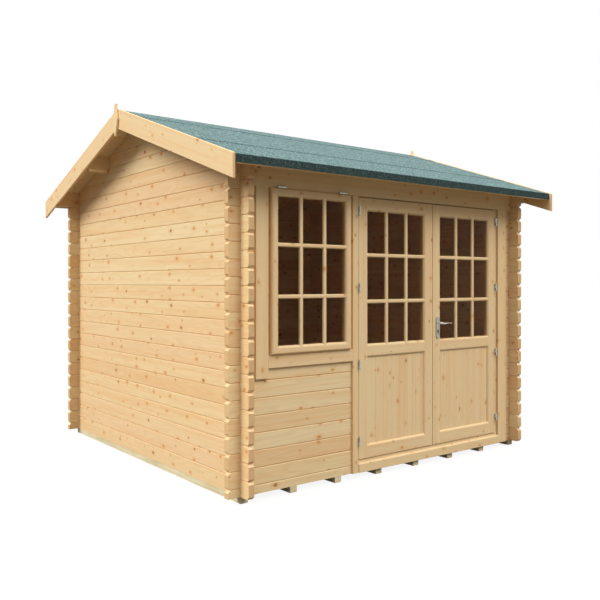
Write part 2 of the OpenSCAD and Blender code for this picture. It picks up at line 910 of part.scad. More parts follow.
// A long plate with round ends, on both faces of the door, bored for the lever's spindle.
module handle_plate(y0) {
    r = plate_w / 2;
    zc = lever_z - plate_drop;
    z0 = zc - plate_h / 2 + r;
    z1 = zc + plate_h / 2 - r;
    along_y(y0, y0 + plate_t) difference() {
        union() {
            translate([lever_x - r, z0]) square([plate_w, z1 - z0]);
            translate([lever_x, z0]) circle(r = r);
            translate([lever_x, z1]) circle(r = r);
        }
        translate([lever_x, lever_z]) circle(r = spindle_r + fit);
    }
}

// Round key cylinder under the lever.
module key_cylinder(y0, y1) {
    translate([lever_x, y1, lever_z - key_drop]) rotate([90, 0, 0]) cylinder(h = y1 - y0, r = key_r);
}

module handle_plates() {
    color(steel) site() {
        handle_plate(leaf_y0 - plate_t);
        handle_plate(leaf_y1);
        key_cylinder(leaf_y0 - plate_t - key_out, leaf_y0 - plate_t);
        key_cylinder(leaf_y1 + plate_t, leaf_y1 + plate_t + key_out);
    }
}

// The lever's middle line and half its height, at a share t of its length.
function lever_mid(t) = -lever_dip * sin(180 * t) + lever_curl * pow(t, 6);
function lever_half(t) = lever_w / 2 * (1 - (1 - lever_taper) * t);

// Lever outline in the door's plane: it dips a little, then its tip turns up.
module lever_outline() {
    ts = [for (i = [0 : 12]) i / 12];
    translate([lever_x, lever_z]) {
        circle(r = lever_w / 2);
        polygon([for (t = ts) [t * lever_l, lever_mid(t) + lever_half(t)],
            for (t = ts) [(1 - t) * lever_l, lever_mid(1 - t) - lever_half(1 - t)]]);
    }
}

module door_lever() {
    out_y = leaf_y0 - plate_t - lever_out;
    in_y = leaf_y1 + plate_t + lever_out;
    color(steel) site() {
        translate([lever_x, in_y, lever_z]) rotate([90, 0, 0]) cylinder(h = in_y - out_y,
            r = spindle_r);
        along_y(out_y - lever_t, out_y) lever_outline();
        along_y(in_y, in_y + lever_t) lever_outline();
    }
}

bearers();
floor();
front_wall_left();
front_wall_right();
back_wall();
top_logs();
left_gable_wall();
right_gable_wall();
ridge_purlin();
side_purlins();
front_roof_deck();
back_roof_deck();
eaves_battens();
front_eaves_felt();
front_middle_felt();
ridge_felt();
back_middle_felt();
back_eaves_felt();
left_bargeboards();
right_bargeboards();
finials();
window_frame();
window_sill_board();
window_sash();
window_bars();
window_glass();
window_hinges();
head_board();
left_trim_board();
right_trim_board();
door_frame();
door_threshold();
door_hinge_pins();
left_door_frame();
left_door_bars();
left_door_panel();
left_door_glass();
left_door_hinges();
right_door_frame();
right_door_bars();
right_door_panel();
right_door_glass();
right_door_hinges();
handle_plates();
door_lever();
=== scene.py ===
# Log cabin: the finish of every surface, with its joinery, boards, felt and fittings in fine detail.
import math
import random

import bmesh
import bpy
from mathutils import Matrix, Vector, noise


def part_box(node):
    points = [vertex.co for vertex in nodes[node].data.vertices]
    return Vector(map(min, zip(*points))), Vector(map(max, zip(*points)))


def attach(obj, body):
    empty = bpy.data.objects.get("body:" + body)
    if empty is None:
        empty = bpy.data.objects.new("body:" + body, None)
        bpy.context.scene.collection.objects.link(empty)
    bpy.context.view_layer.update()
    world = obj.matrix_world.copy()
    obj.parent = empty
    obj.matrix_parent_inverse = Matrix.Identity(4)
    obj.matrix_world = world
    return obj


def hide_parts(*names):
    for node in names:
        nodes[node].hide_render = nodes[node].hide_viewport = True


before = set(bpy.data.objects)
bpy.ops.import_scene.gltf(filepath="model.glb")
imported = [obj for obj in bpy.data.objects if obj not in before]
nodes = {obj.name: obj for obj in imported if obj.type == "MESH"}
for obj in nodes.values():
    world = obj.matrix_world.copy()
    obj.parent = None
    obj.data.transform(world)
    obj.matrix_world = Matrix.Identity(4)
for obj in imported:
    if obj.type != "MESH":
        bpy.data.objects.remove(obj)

MM = 0.001
X, Y, Z = 0, 1, 2
MATH = "ShaderNodeMath"
scene = bpy.context.scene
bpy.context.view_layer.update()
random.seed(11)

# ---- sizes, in metres, and places taken from the frame ----

LOG_H = 114 * MM                # one course of logs
PITCH = math.radians(19)        # slope of the roof
BEAMS_Z = 2.25                  # mean height of the beams under the roof
BAR_SHARES = {"window": (0.329, 0.677), "door": (0.319, 0.669)}   # cross bars up a sheet of glass
CHAMFER = 12 * MM               # chamfer round a pane or a panel
BAR_W = 32 * MM                 # upright glazing bar
CROSS_BAR_W = 29 * MM           # cross bar
DECK_T = 19 * MM                # roof boards
DECK_BOARDS = 34                # in each slope
PANEL_BOARDS = 7                # in each door's panel
PLATE_T = 8 * MM                # handle plate
AXIS_UP = 36 * MM               # the levers' axis, above the middle of the plate
KEY_DROP = 64 * MM              # the lock, below the levers
LEVER_OUT = 26 * MM             # a lever's distance from its plate
LEVER_T = 13 * MM               # thickness of a lever
# Outlines of a collar and a key barrel: radius and distance from the plate, in mm.
COLLAR = ((9.3, -0.5), (9.3, 5.4), (10.4, 6), (12, 5.2), (13.2, 2.4), (14, -0.5))
BARREL = ((0, -0.5), (9, -0.5), (9, 2.3), (8.3, 3), (0, 3))
# A lever's shape: share of its length, then its middle and half its height in mm.
LEVER_WAVE = ((0, 0, 9), (0.2, -2.5, 7.6), (0.42, -5.3, 7), (0.6, -1.2, 3.9), (0.7, -1, 2.9),
              (0.85, -6.5, 3.1), (0.93, -4, 3.3), (1, 3, 2.6))

wall_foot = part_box("left_gable_wall")[0].z


# ---- nodes and colours ----

def srgb(text):
    """A hex colour as linear red, green, blue and alpha."""
    parts = [int(text[i:i + 2], 16) / 255 for i in (1, 3, 5)]
    return [p / 12.92 if p <= 0.04045 else ((p + 0.055) / 1.055) ** 2.4 for p in parts] + [1.0]


def add(tree, kind, inputs=None, **settings):
    """One node. Inputs, by name or number, are values, sockets or nodes; settings are its own."""
    node = tree.nodes.new(kind)
    stops = settings.pop("stops", None)
    for name, value in settings.items():
        setattr(node, name, value)
    for key, value in (inputs or {}).items():
        if isinstance(value, bpy.types.Node):
            value = value.outputs[0]
        if isinstance(value, bpy.types.NodeSocket):
            tree.links.new(value, node.inputs[key])
        else:
            node.inputs[key].default_value = value
    if stops:
        elements = node.color_ramp.elements
        while len(elements) < len(stops):
            elements.new(0.5)
        for element, (place, colour) in zip(elements, stops):
            element.position = place
            element.color = colour
    return node


def new_material(name):
    """An empty material and its node tree."""
    material = bpy.data.materials.new(name)
    material.use_nodes = True
    material.node_tree.nodes.clear()
    return material, material.node_tree


def new_group(name, kind, inputs, outputs):
    """An empty node group with named inputs and outputs, and the sockets that its inputs give."""
    tree = bpy.data.node_groups.new(name, kind)
    for way, sockets in (("INPUT", inputs), ("OUTPUT", outputs)):
        for label, value in sockets.items():
            tree.interface.new_socket(label, in_out=way, socket_type="NodeSocket" + value)
    return tree, add(tree, "NodeGroupInput").outputs


# ---- planed spruce ----

def spruce_figure():
    """Spruce in the solid: growth rings round a pith beside the board, fibres, knots and tone."""
    tree, given = new_group("spruce_figure", "ShaderNodeTree",
                            {"Grain": "Vector", "Seed": "Float", "End": "Float", "Pale": "Float"},
                            {"Color": "Color", "Height": "Float"})
    end = given["End"]

    # Each board has its own place in the patterns, its own pith and its own tone.
    chance = add(tree, "ShaderNodeTexWhiteNoise", {"W": given["Seed"]}, noise_dimensions="1D")
    shift = add(tree, "ShaderNodeVectorMath", {0: chance.outputs["Color"], 1: (23, 31, 17)},
                operation="MULTIPLY")
    place = add(tree, "ShaderNodeVectorMath", {0: given["Grain"], 1: shift}, operation="ADD")
    own = add(tree, "ShaderNodeSeparateColor", {0: chance.outputs["Color"]}).outputs

    # Knots: ovals along the grain, 9 to 29 mm high and half as long again, 30 to a square metre.
    cell = 105 * MM
    knot_place = add(tree, "ShaderNodeVectorMath", {0: place, 1: (0.66 / cell, 1 / cell, 1 / cell)},
                     operation="MULTIPLY")
    knots = add(tree, "ShaderNodeTexVoronoi", {"Vector": knot_place, "Scale": 1.0},
                voronoi_dimensions="2D").outputs
    luck = add(tree, "ShaderNodeSeparateColor", {0: knots["Color"]}).outputs
    half_of_cells = add(tree, MATH, {0: luck[0], 1: 0.5}, operation="LESS_THAN")
    on_side = add(tree, MATH, {0: end, 1: 0.5}, operation="LESS_THAN")
    chosen = add(tree, MATH, {0: half_of_cells, 1: on_side}, operation="MULTIPLY")
    size = add(tree, MATH, {0: luck[1], 1: 10 * MM, 2: 4.5 * MM}, operation="MULTIPLY_ADD")
    wobble = add(tree, "ShaderNodeTexNoise", {"Vector": place, "Scale": 90.0, "Detail": 1.0})
    rough_edge = add(tree, MATH, {0: wobble, 1: 5 * MM, 2: -2.5 * MM}, operation="MULTIPLY_ADD")
    reach = add(tree, MATH, {0: knots["Distance"], 1: cell, 2: rough_edge},
                operation="MULTIPLY_ADD")
    away = add(tree, MATH, {0: reach, 1: size}, operation="DIVIDE")
    near = add(tree, MATH, {0: 1.0, 1: away}, operation="SUBTRACT", use_clamp=True)
    near = add(tree, MATH, {0: chosen, 1: near}, operation="MULTIPLY")
    halo = add(tree, MATH, {0: away, 1: -0.33, 2: 1.0}, operation="MULTIPLY_ADD", use_clamp=True)
    halo = add(tree, MATH, {0: halo, 1: 2.0}, operation="POWER")
    halo = add(tree, MATH, {0: chosen, 1: halo}, operation="MULTIPLY")

    # Patterns drawn out along the grain, in cells per metre: waves of the rings, 1100 by 140 mm;
    # fibres, 170 by 3 mm, which are coarser than real ones so that they show; and streaks of
    # heartwood, 1400 by 40 mm.
    long_patterns = []
    for stretch, detail in (((0.9, 7.0, 7.0), 2.0), ((6.0, 330.0, 330.0), 2.0),
                            ((0.7, 26.0, 26.0), 3.0)):
        long_place = add(tree, "ShaderNodeVectorMath", {0: place, 1: stretch}, operation="MULTIPLY")
        long_patterns.append(add(tree, "ShaderNodeTexNoise", {"Vector": long_place, "Scale": 1.0,
                                                              "Detail": detail}))
    wander, fibres, streaks = long_patterns

    # Growth rings 4.5 mm apart, as in quick-grown spruce. They wander, and bend round the knots.
    spot = add(tree, "ShaderNodeSeparateXYZ", {0: given["Grain"]}).outputs
    across = add(tree, MATH, {0: own[0], 1: 0.16, 2: -0.08}, operation="MULTIPLY_ADD")
    across = add(tree, MATH, {0: spot[1], 1: across}, operation="ADD")
    depth = add(tree, MATH, {0: own[1], 1: 0.07, 2: 0.025}, operation="MULTIPLY_ADD")
    depth = add(tree, MATH, {0: spot[2], 1: depth}, operation="ADD")
    from_pith = add(tree, "ShaderNodeCombineXYZ", {0: across, 1: depth})
    radius = add(tree, "ShaderNodeVectorMath", {0: from_pith}, operation="LENGTH").outputs["Value"]
    for pattern, bend in ((wander, 0.05), (halo, 0.014)):
        radius = add(tree, MATH, {0: pattern, 1: bend, 2: radius}, operation="MULTIPLY_ADD")
    rings = add(tree, MATH, {0: radius, 1: 4.5 * MM}, operation="DIVIDE")
    rings = add(tree, MATH, {0: rings}, operation="FRACT")
    late = add(tree, MATH, {0: rings, 1: 0.82}, operation="PINGPONG")
    late = add(tree, MATH, {0: late, 1: 2.5}, operation="POWER")

    # Tone of the whole board: pale cream, honey or pink.
    tone = add(tree, "ShaderNodeValToRGB", {0: own[2]},
               stops=[(0.0, srgb("#EED9AF")), (0.3, srgb("#ECD4A7")), (0.55, srgb("#EACFA1")),
                      (0.8, srgb("#EACCA3")), (1.0, srgb("#E6C596"))])
    colour = add(tree, "ShaderNodeMix", {0: given["Pale"], 6: tone, 7: srgb("#EDD5AA")},
                 data_type="RGBA").outputs[2]
    # Most knots are live and orange. One in seven is dead and browner.
    live = add(tree, "ShaderNodeValToRGB", {0: near},
               stops=[(0.0, srgb("#E0AB6B")), (0.3, srgb("#D5985B")), (1.0, srgb("#C78547"))])
    dead = add(tree, "ShaderNodeValToRGB", {0: near},
               stops=[(0.0, srgb("#AC7645")), (0.3, srgb("#B47847")), (1.0, srgb("#9A6034"))])
    is_dead = add(tree, MATH, {0: luck[2], 1: 0.86}, operation="GREATER_THAN")
    knot = add(tree, "ShaderNodeMix", {0: is_dead, 6: live, 7: dead}, data_type="RGBA").outputs[2]
    # Each layer lies over the last: streaks, late wood, fibres, the stain round a knot, the knot
    # itself, and end grain, which drinks in the light and shows browner than the sides.
    streak = add(tree, "ShaderNodeMapRange", {0: streaks, 1: 0.45, 2: 0.75}, clamp=True)
    knot_cover = add(tree, MATH, {0: near, 1: 3.0}, operation="MULTIPLY", use_clamp=True)
    for amount, share, tint in ((streak, 0.55, srgb("#E4B47B")), (late, 0.26, srgb("#C99A62")),
                                (fibres, 0.16, srgb("#D2A672")), (halo, 0.62, srgb("#D39A5B")),
                                (knot_cover, 0.85, knot), (end, 0.45, srgb("#C4965F"))):
        cover = add(tree, MATH, {0: amount, 1: share}, operation="MULTIPLY")
        colour = add(tree, "ShaderNodeMix", {0: cover, 6: colour, 7: tint},
                     data_type="RGBA").outputs[2]
    height = add(tree, MATH, {0: late, 1: -0.5, 2: fibres}, operation="MULTIPLY_ADD")
    add(tree, "NodeGroupOutput", {0: colour, 1: height})
    return tree


def finish_spruce(tree, colour, height):
    """Planed, untreated spruce: matt, with the ridges of its grain barely felt."""
    bump = add(tree, "ShaderNodeBump", {"Height": height, "Strength": 0.25, "Distance": 0.35 * MM})
    skin = add(tree, "ShaderNodeBsdfPrincipled", {"Base Color": colour, "Roughness": 0.62,
                                                  "Specular IOR Level": 0.28, "Normal": bump})
    add(tree, "ShaderNodeOutputMaterial", {0: skin})


def spruce_boards():
    """Planed spruce board. Each board's own grain and seed are in its mesh."""
    material, tree = new_material("planed_spruce_board")
    grain, seed, end = (add(tree, "ShaderNodeAttribute", attribute_name=name).outputs
                        for name in ("grain", "seed", "end"))
    wood = add(tree, "ShaderNodeGroup", {"Grain": grain["Vector"], "Seed": seed["Fac"],
                                         "End": end["Fac"], "Pale": 0.6}, node_tree=figure).outputs
    finish_spruce(tree, wood["Color"], wood["Height"])
    return material


def end_grain(tree, along):
    """1 on faces square to an axis of the piece, and 0 on its sides."""
    normal = add(tree, "ShaderNodeTexCoord").outputs["Normal"]
    facing = add(tree, "ShaderNodeSeparateXYZ", {0: normal}).outputs[along]
    facing = add(tree, MATH, {0: facing}, operation="ABSOLUTE")
    return add(tree, MATH, {0: facing, 1: 0.8}, operation="GREATER_THAN")


def spruce_logs(name, along, first_joint):
    """Planed spruce logs that run along X or Y, stacked one log high from first_joint."""
    material, tree = new_material(name)
    place = add(tree, "ShaderNodeTexCoord").outputs["Object"]
    axes = add(tree, "ShaderNodeSeparateXYZ", {0: place}).outputs
    depth = axes[Y if along == X else X]
    course = add(tree, MATH, {0: axes[Z], 1: first_joint}, operation="SUBTRACT")
    course = add(tree, MATH, {0: course, 1: LOG_H}, operation="DIVIDE")
    number = add(tree, MATH, {0: course}, operation="FLOOR")
    up = add(tree, MATH, {0: course}, operation="FRACT")
    up = add(tree, MATH, {0: up, 1: 0.5}, operation="SUBTRACT")
    up = add(tree, MATH, {0: up, 1: LOG_H}, operation="MULTIPLY")
    # Each course, and each of two walls that face one another, has a log of its own.
    side = add(tree, MATH, {0: depth, 1: 0.0}, operation="GREATER_THAN")
    seed = add(tree, MATH, {0: number, 1: 7.0 + 13.0 * along}, operation="ADD")
    seed = add(tree, MATH, {0: side, 1: 61.0, 2: seed}, operation="MULTIPLY_ADD")
    grain = add(tree, "ShaderNodeCombineXYZ", {0: axes[along], 1: up, 2: depth})
    wood = add(tree, "ShaderNodeGroup", {"Grain": grain, "Seed": seed,
                                         "End": end_grain(tree, along)}, node_tree=figure).outputs
    # The open line of each joint, 2 mm high at the bottom of its V.
    off_middle = add(tree, MATH, {0: up}, operation="ABSOLUTE")
    joint = add(tree, "ShaderNodeMapRange", {0: off_middle, 1: LOG_H / 2 - 2.2 * MM, 2: LOG_H / 2,
                                             3: 0.0, 4: 0.5}, clamp=True)
    colour = add(tree, "ShaderNodeMix", {0: joint, 6: wood["Color"], 7: srgb("#A66A3A")},
                 data_type="RGBA").outputs[2]
    finish_spruce(tree, colour, wood["Height"])
    return material


def spruce_beams():
    """Planed spruce beams along X that carry the roof: one log each, told apart by where they lie."""
    material, tree = new_material("planed_spruce_beam")
    place = add(tree, "ShaderNodeTexCoord").outputs["Object"]
    axes = add(tree, "ShaderNodeSeparateXYZ", {0: place}).outputs
    seed = add(tree, MATH, {0: axes[Y], 1: 4.0}, operation="MULTIPLY")
    seed = add(tree, MATH, {0: seed}, operation="ROUND")
    seed = add(tree, MATH, {0: seed, 1: 40.0}, operation="ADD")
    up = add(tree, MATH, {0: axes[Z], 1: BEAMS_Z}, operation="SUBTRACT")
    grain = add(tree, "ShaderNodeCombineXYZ", {0: axes[X], 1: up, 2: axes[Y]})
    wood = add(tree, "ShaderNodeGroup", {"Grain": grain, "Seed": seed, "End": end_grain(tree, X)},
               node_tree=figure).outputs
    finish_spruce(tree, wood["Color"], wood["Height"])
    return material


def treated_softwood():
    """Sawn softwood, pressure treated: dull and greenish, with darker streaks 17 mm wide along Y."""
    material, tree = new_material("pressure_treated_softwood")
    place = add(tree, "ShaderNodeTexCoord").outputs["Object"]
    long_place = add(tree, "ShaderNodeVectorMath", {0: place, 1: (60.0, 3.0, 60.0)},
                     operation="MULTIPLY")
    streaks = add(tree, "ShaderNodeTexNoise", {"Vector": long_place, "Scale": 1.0, "Detail": 4.0})
    patches = add(tree, "ShaderNodeTexNoise", {"Vector": place, "Scale": 5.0, "Detail": 2.0})
    amount = add(tree, MATH, {0: streaks, 1: 0.6}, operation="MULTIPLY")
    amount = add(tree, MATH, {0: patches, 1: 0.4, 2: amount}, operation="MULTIPLY_ADD")
    colour = add(tree, "ShaderNodeValToRGB", {0: amount},
                 stops=[(0.3, srgb("#BCB18F")), (0.5, srgb("#DACEAB")), (0.68, srgb("#EBE0C3"))])
    bump = add(tree, "ShaderNodeBump", {"Height": streaks, "Strength": 0.5, "Distance": 0.8 * MM})
    skin = add(tree, "ShaderNodeBsdfPrincipled", {"Base Color": colour, "Roughness": 0.85,
                                                  "Normal": bump})
    add(tree, "ShaderNodeOutputMaterial", {0: skin})
    return material


# ---- felt, glass and metal ----

def mineral_felt():
    """Bitumen felt under green slate granules. The granules are 1 mm, drawn 8 mm wide to show."""
    material, tree = new_material("green_mineral_felt")
    place = add(tree, "ShaderNodeTexCoord").outputs["Object"]
    granules = add(tree, "ShaderNodeTexVoronoi", {"Vector": place, "Scale": 122.0})
    grit = add(tree, "ShaderNodeSeparateColor", {0: granules.outputs["Color"]})
    clumps = add(tree, "ShaderNodeTexNoise", {"Vector": place, "Scale": 75.0, "Detail": 2.0})
    patches = add(tree, "ShaderNodeTexNoise", {"Vector": place, "Scale": 2.5, "Detail": 2.0})
    amount = add(tree, MATH, {0: clumps, 1: 0.38}, operation="MULTIPLY")
    amount = add(tree, MATH, {0: grit, 1: 0.62, 2: amount}, operation="MULTIPLY_ADD")
    colour = add(tree, "ShaderNodeValToRGB", {0: amount},
                 stops=[(0.12, srgb("#344F52")), (0.40, srgb("#4D696B")), (0.62, srgb("#5D797B")),
                        (0.85, srgb("#9CB2B2"))])
    dull = add(tree, MATH, {0: patches, 1: 0.25}, operation="MULTIPLY")
    colour = add(tree, "ShaderNodeMix", {0: dull, 6: colour, 7: srgb("#587679")},
                 data_type="RGBA").outputs[2]
    # Faces that stand upright, where the felt is bent down over the eaves, are painted darker:
    # painted shade.
    normal = add(tree, "ShaderNodeNewGeometry").outputs["Normal"]
    level = add(tree, "ShaderNodeSeparateXYZ", {0: normal}).outputs[Z]
    level = add(tree, MATH, {0: level}, operation="ABSOLUTE")
    upright_painted_shade = add(tree, "ShaderNodeMapRange", {0: level, 1: 0.55, 2: 0.85, 3: 0.78, 4: 0.0}, clamp=True)
    colour = add(tree, "ShaderNodeMix", {0: upright_painted_shade, 6: colour, 7: srgb("#24312F")},
                 data_type="RGBA").outputs[2]
    bump = add(tree, "ShaderNodeBump", {"Height": amount, "Strength": 0.6, "Distance": 1.2 * MM})
    skin = add(tree, "ShaderNodeBsdfPrincipled", {"Base Color": colour, "Roughness": 0.93,
                                                  "Specular IOR Level": 0.15, "Normal": bump})
    add(tree, "ShaderNodeOutputMaterial", {0: skin})
    return material


def float_glass():
    """Clear float glass with a faint warm tint, through which the dark inside shows; the tint is
    painted shade that darkens and warms that inside.

    Its IOR is below the usual 1.52, so that little of the bright surroundings lies over the panes.
    """
    material, tree = new_material("float_glass")
    skin = add(tree, "ShaderNodeBsdfPrincipled", {"Base Color": srgb("#FFEACD"), "Roughness": 0.0,
                                                  "IOR": 1.12, "Transmission Weight": 1.0})
    add(tree, "ShaderNodeOutputMaterial", {0: skin})
    return material


def brushed_metal(name, colour, least_rough):
    """Metal with blurred highlights and brushed lines on Z: 0.1 mm apart, drawn at 1 mm to show."""
    material, tree = new_material(name)
    place = add(tree, "ShaderNodeTexCoord").outputs["Object"]
    long_place = add(tree, "ShaderNodeVectorMath", {0: place, 1: (900.0, 900.0, 60.0)},
                     operation="MULTIPLY")
    brushed = add(tree, "ShaderNodeTexNoise", {"Vector": long_place, "Scale": 1.0, "Detail": 1.0})
    rough = add(tree, MATH, {0: brushed, 1: 0.14, 2: least_rough}, operation="MULTIPLY_ADD")
    bump = add(tree, "ShaderNodeBump", {"Height": brushed, "Strength": 0.15, "Distance": 0.1 * MM})
    skin = add(tree, "ShaderNodeBsdfPrincipled", {"Base Color": srgb(colour), "Metallic": 1.0,
                                                  "Roughness": rough, "Normal": bump})
    add(tree, "ShaderNodeOutputMaterial", {0: skin})
    return material


figure = spruce_figure()
board_wood = spruce_boards()
front_logs = spruce_logs("planed_spruce_front_logs", X, wall_foot + LOG_H / 2)
gable_logs = spruce_logs("planed_spruce_gable_logs", Y, wall_foot)
beam_wood = spruce_beams()
bearer_wood = treated_softwood()
felt = mineral_felt()
glass = float_glass()
# Satin nickel plate, on the handle plates and screws: a soft, even grey sheen.
nickel = brushed_metal("satin_nickel_steel", "#A3A298", 0.24)
# Polished nickel, on the levers and collars: paler, with clearer highlights along the curves.
polished = brushed_metal("polished_nickel_steel", "#BDBCB4", 0.2)
# Dark, dull metal in the lock: its dark brown is painted shade of the keyhole, so that the cylinder
# stands out from its plate.
dark_brass_painted_shade = brushed_metal("brass_cylinder_painted_shade", "#4C473A", 0.35)
# Zinc plate, on the hinges: a flat pale grey with hardly a highlight.
zinc = brushed_metal("zinc_plated_steel", "#B2B5AC", 0.6)


# ---- pieces ----

def make_piece(name, mesh, material, slot, body, *stands_for):
    """A finished mesh as a piece that rides on a body and stands for CAD nodes."""
    mesh.name = name
    mesh.materials.clear()
    mesh.materials.append(material)
    piece = bpy.data.objects.new(name, mesh)
    scene.collection.objects.link(piece)
    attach(piece, body)
    if stands_for:
        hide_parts(*stands_for)


def to_mesh(bm):
    """A bmesh as a new mesh. The bmesh is freed."""
    mesh = bpy.data.meshes.new("piece")
    bm.to_mesh(mesh)
    bm.free()
    return mesh


def solid_of(node):
    """A clean copy of a CAD node: no UV map, joined corners, and one face for each flat side."""
    bm = bmesh.new()
    bm.from_mesh(nodes[node].data)
    for layer in list(bm.loops.layers.uv):
        bm.loops.layers.uv.remove(layer)
    bmesh.ops.remove_doubles(bm, verts=bm.verts, dist=0.01 * MM)
    bmesh.ops.dissolve_limit(bm, angle_limit=math.radians(0.5), verts=bm.verts, edges=bm.edges)
    return bm


def cut(bm, point, normal):
    """Cuts a solid at a plane and closes both sides, so that they are separate."""
    point, normal = Vector(point), Vector(normal).normalized()
    both = bmesh.new()
    for side in (1, -1):
        half = bm.copy()
        whole = half.verts[:] + half.edges[:] + half.faces[:]
        bmesh.ops.bisect_plane(half, geom=whole, dist=0.01 * MM, plane_co=point, plane_no=normal)
        wrong = [v for v in half.verts if (v.co - point).dot(normal) * side < -0.02 * MM]
        bmesh.ops.delete(half, geom=wrong, context="VERTS")
        flat = [f for f in half.faces
                if all(abs((v.co - point).dot(normal)) < 0.02 * MM for v in f.verts)]
        bmesh.ops.delete(half, geom=flat, context="FACES_ONLY")
        loose = [e for e in half.edges if not e.link_faces]
        bmesh.ops.delete(half, geom=loose, context="EDGES")
        bmesh.ops.delete(half, geom=[v for v in half.verts if not v.link_faces], context="VERTS")
        open_edges = [e for e in half.edges if e.is_boundary]
        bmesh.ops.holes_fill(half, edges=open_edges)
        mesh = to_mesh(half)
        both.from_mesh(mesh)
        bpy.data.meshes.remove(mesh)
    bm.free()
    return both


def islands(bm):
    """The faces of each separate solid."""
    left = set(bm.faces)
    found = []
    while left:
        group, todo = [], [left.pop()]
        while todo:
            face = todo.pop()
            group.append(face)
            for edge in face.edges:
                for other in edge.link_faces:
                    if other in left:
                        left.remove(other)
                        todo.append(other)
        found.append(group)
    return found


def sharp_edges(bm):
    """The edges where two faces meet at an angle of more than 20 degrees."""
    return [e for e in bm.edges
            if len(e.link_faces) == 2 and e.calc_face_angle(0) > math.radians(20)]


def soften(bm, width):
    """Rounds every sharp edge a little, as planed and sanded wood has."""
    bmesh.ops.bevel(bm, geom=sharp_edges(bm), offset=width, segments=2, profile=0.5,
                    affect="EDGES", clamp_overlap=True)
    bmesh.ops.recalc_face_normals(bm, faces=bm.faces)


def mould(bm, low, high, width):
    """Turns the chamfers on a frame's face, between two depths, into rounded mouldings."""
    inside = [e for e in sharp_edges(bm) if e.calc_face_angle(0) < math.radians(69)
              and all(low - 0.1 * MM < v.co.y < high + 0.1 * MM for v in e.verts)]
    bmesh.ops.bevel(bm, geom=inside, offset=width, segments=4, profile=0.5, affect="EDGES",
                    clamp_overlap=True)


def grain_layers(bm):
    """The layers of a mesh that the boards' material reads: grain, seed and end."""
    layers = bm.loops.layers
    kinds = ((layers.float_vector, "grain"), (layers.float, "seed"), (layers.float, "end"))
    return [kind.get(name) or kind.new(name) for kind, name in kinds]


def lay_grain(bm, direction=None, depth=Y):
    """Gives each solid of a mesh its own board: grain along its length, or along direction.

    The depth axis is the one that the eye looks along, so that knots are round to the eye.
    """
    grain, seed, end = grain_layers(bm)
    for group in sorted(islands(bm), key=lambda g: tuple(round(c, 3) for c in middle(g))):
        low, high = extent(group)
        size = high - low
        centre = (low + high) / 2
        if direction is None:
            order = sorted((X, Y, Z), key=lambda a: (a == depth, -size[a]))
            axes = [Vector([float(i == a) for i in (X, Y, Z)]) for a in order]
        else:
            along, flat = Vector(direction(centre)).normalized(), Vector((1, 0, 0))
            axes = [along, along.cross(flat), flat]
        number = random.uniform(0, 1000)
        for face in group:
            cross_cut = float(abs(face.normal.dot(axes[0])) > 0.8)
            for loop in face.loops:
                place = loop.vert.co - centre
                loop[grain] = Vector([place.dot(a) for a in axes])
                loop[seed] = number
                loop[end] = cross_cut


def extent(faces):
    """Lowest and highest corner of some faces."""
    points = [v.co for f in faces for v in f.verts]
    return (Vector([min(p[a] for p in points) for a in (X, Y, Z)]),
            Vector([max(p[a] for p in points) for a in (X, Y, Z)]))


def middle(faces):
    """The middle of the box round some faces."""
    low, high = extent(faces)
    return (low + high) / 2


def up_slope(side):
    """Two directions on the front (-1) or back (1) slope: up it, and square to it."""
    run, rise = math.cos(PITCH), math.sin(PITCH)
    return Vector((0, -side * run, rise)), Vector((0, side * rise, run))


def wrap(bm, rings, looped=False):
    """Faces from each ring of corners to the next, with closed ends, or joined in a loop.

    A ring of one corner is a point that the faces run to.
    """
    rings = rings + rings[:1] if looped else rings
    steps = max(len(ring) for ring in rings)
    for a, b in zip(rings, rings[1:]):
        for i in range(steps):
            j = (i + 1) % steps
            corners = (a[i % len(a)], a[j % len(a)], b[j % len(b)], b[i % len(b)])
            bm.faces.new(list(dict.fromkeys(corners)))
    for ring in () if looped else (rings[0], rings[-1]):
        if len(ring) > 1:
            bm.faces.new(ring)
    bmesh.ops.recalc_face_normals(bm, faces=bm.faces)


def boards_from(node, name, body, cuts=(), edge=1.5 * MM, direction=None, slot="spruce_joinery",
                moulding=0, depth=Y):
    """A CAD node of joinery as separate boards with softened edges, cut at some planes."""
    bm = solid_of(node)
    if moulding:
        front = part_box(node)[0].y
        mould(bm, front, front + CHAMFER, moulding)
    for point, normal in cuts:
        bm = cut(bm, point, normal)
    soften(bm, edge)
    lay_grain(bm, direction, depth)
    make_piece(name, to_mesh(bm), board_wood, slot, body, node)


# ---- boards laid side by side ----

def row_of(tree, given, thing, along):
    """Copies of a thing, Count of them at Pitch along an axis, with the origin at their middle."""
    steps = add(tree, MATH, {0: given["Count"], 1: 1.0}, operation="SUBTRACT")
    span = add(tree, MATH, {0: steps, 1: given["Pitch"]}, operation="MULTIPLY")
    first = add(tree, MATH, {0: span, 1: -0.5}, operation="MULTIPLY")
    start = add(tree, "ShaderNodeCombineXYZ", {along: first})
    step = add(tree, "ShaderNodeCombineXYZ", {along: given["Pitch"]})
    line = add(tree, "GeometryNodeMeshLine", {"Count": given["Count"], "Start Location": start,
                                              "Offset": step})
    return add(tree, "GeometryNodeInstanceOnPoints", {"Points": line, "Instance": thing})


def end_row(tree, given, row):
    """Makes the copies of a row real and gives them their material."""
    real = add(tree, "GeometryNodeRealizeInstances", {0: row})
    dressed = add(tree, "GeometryNodeSetMaterial", {0: real, "Material": given["Material"]})
    add(tree, "NodeGroupOutput", {0: dressed})


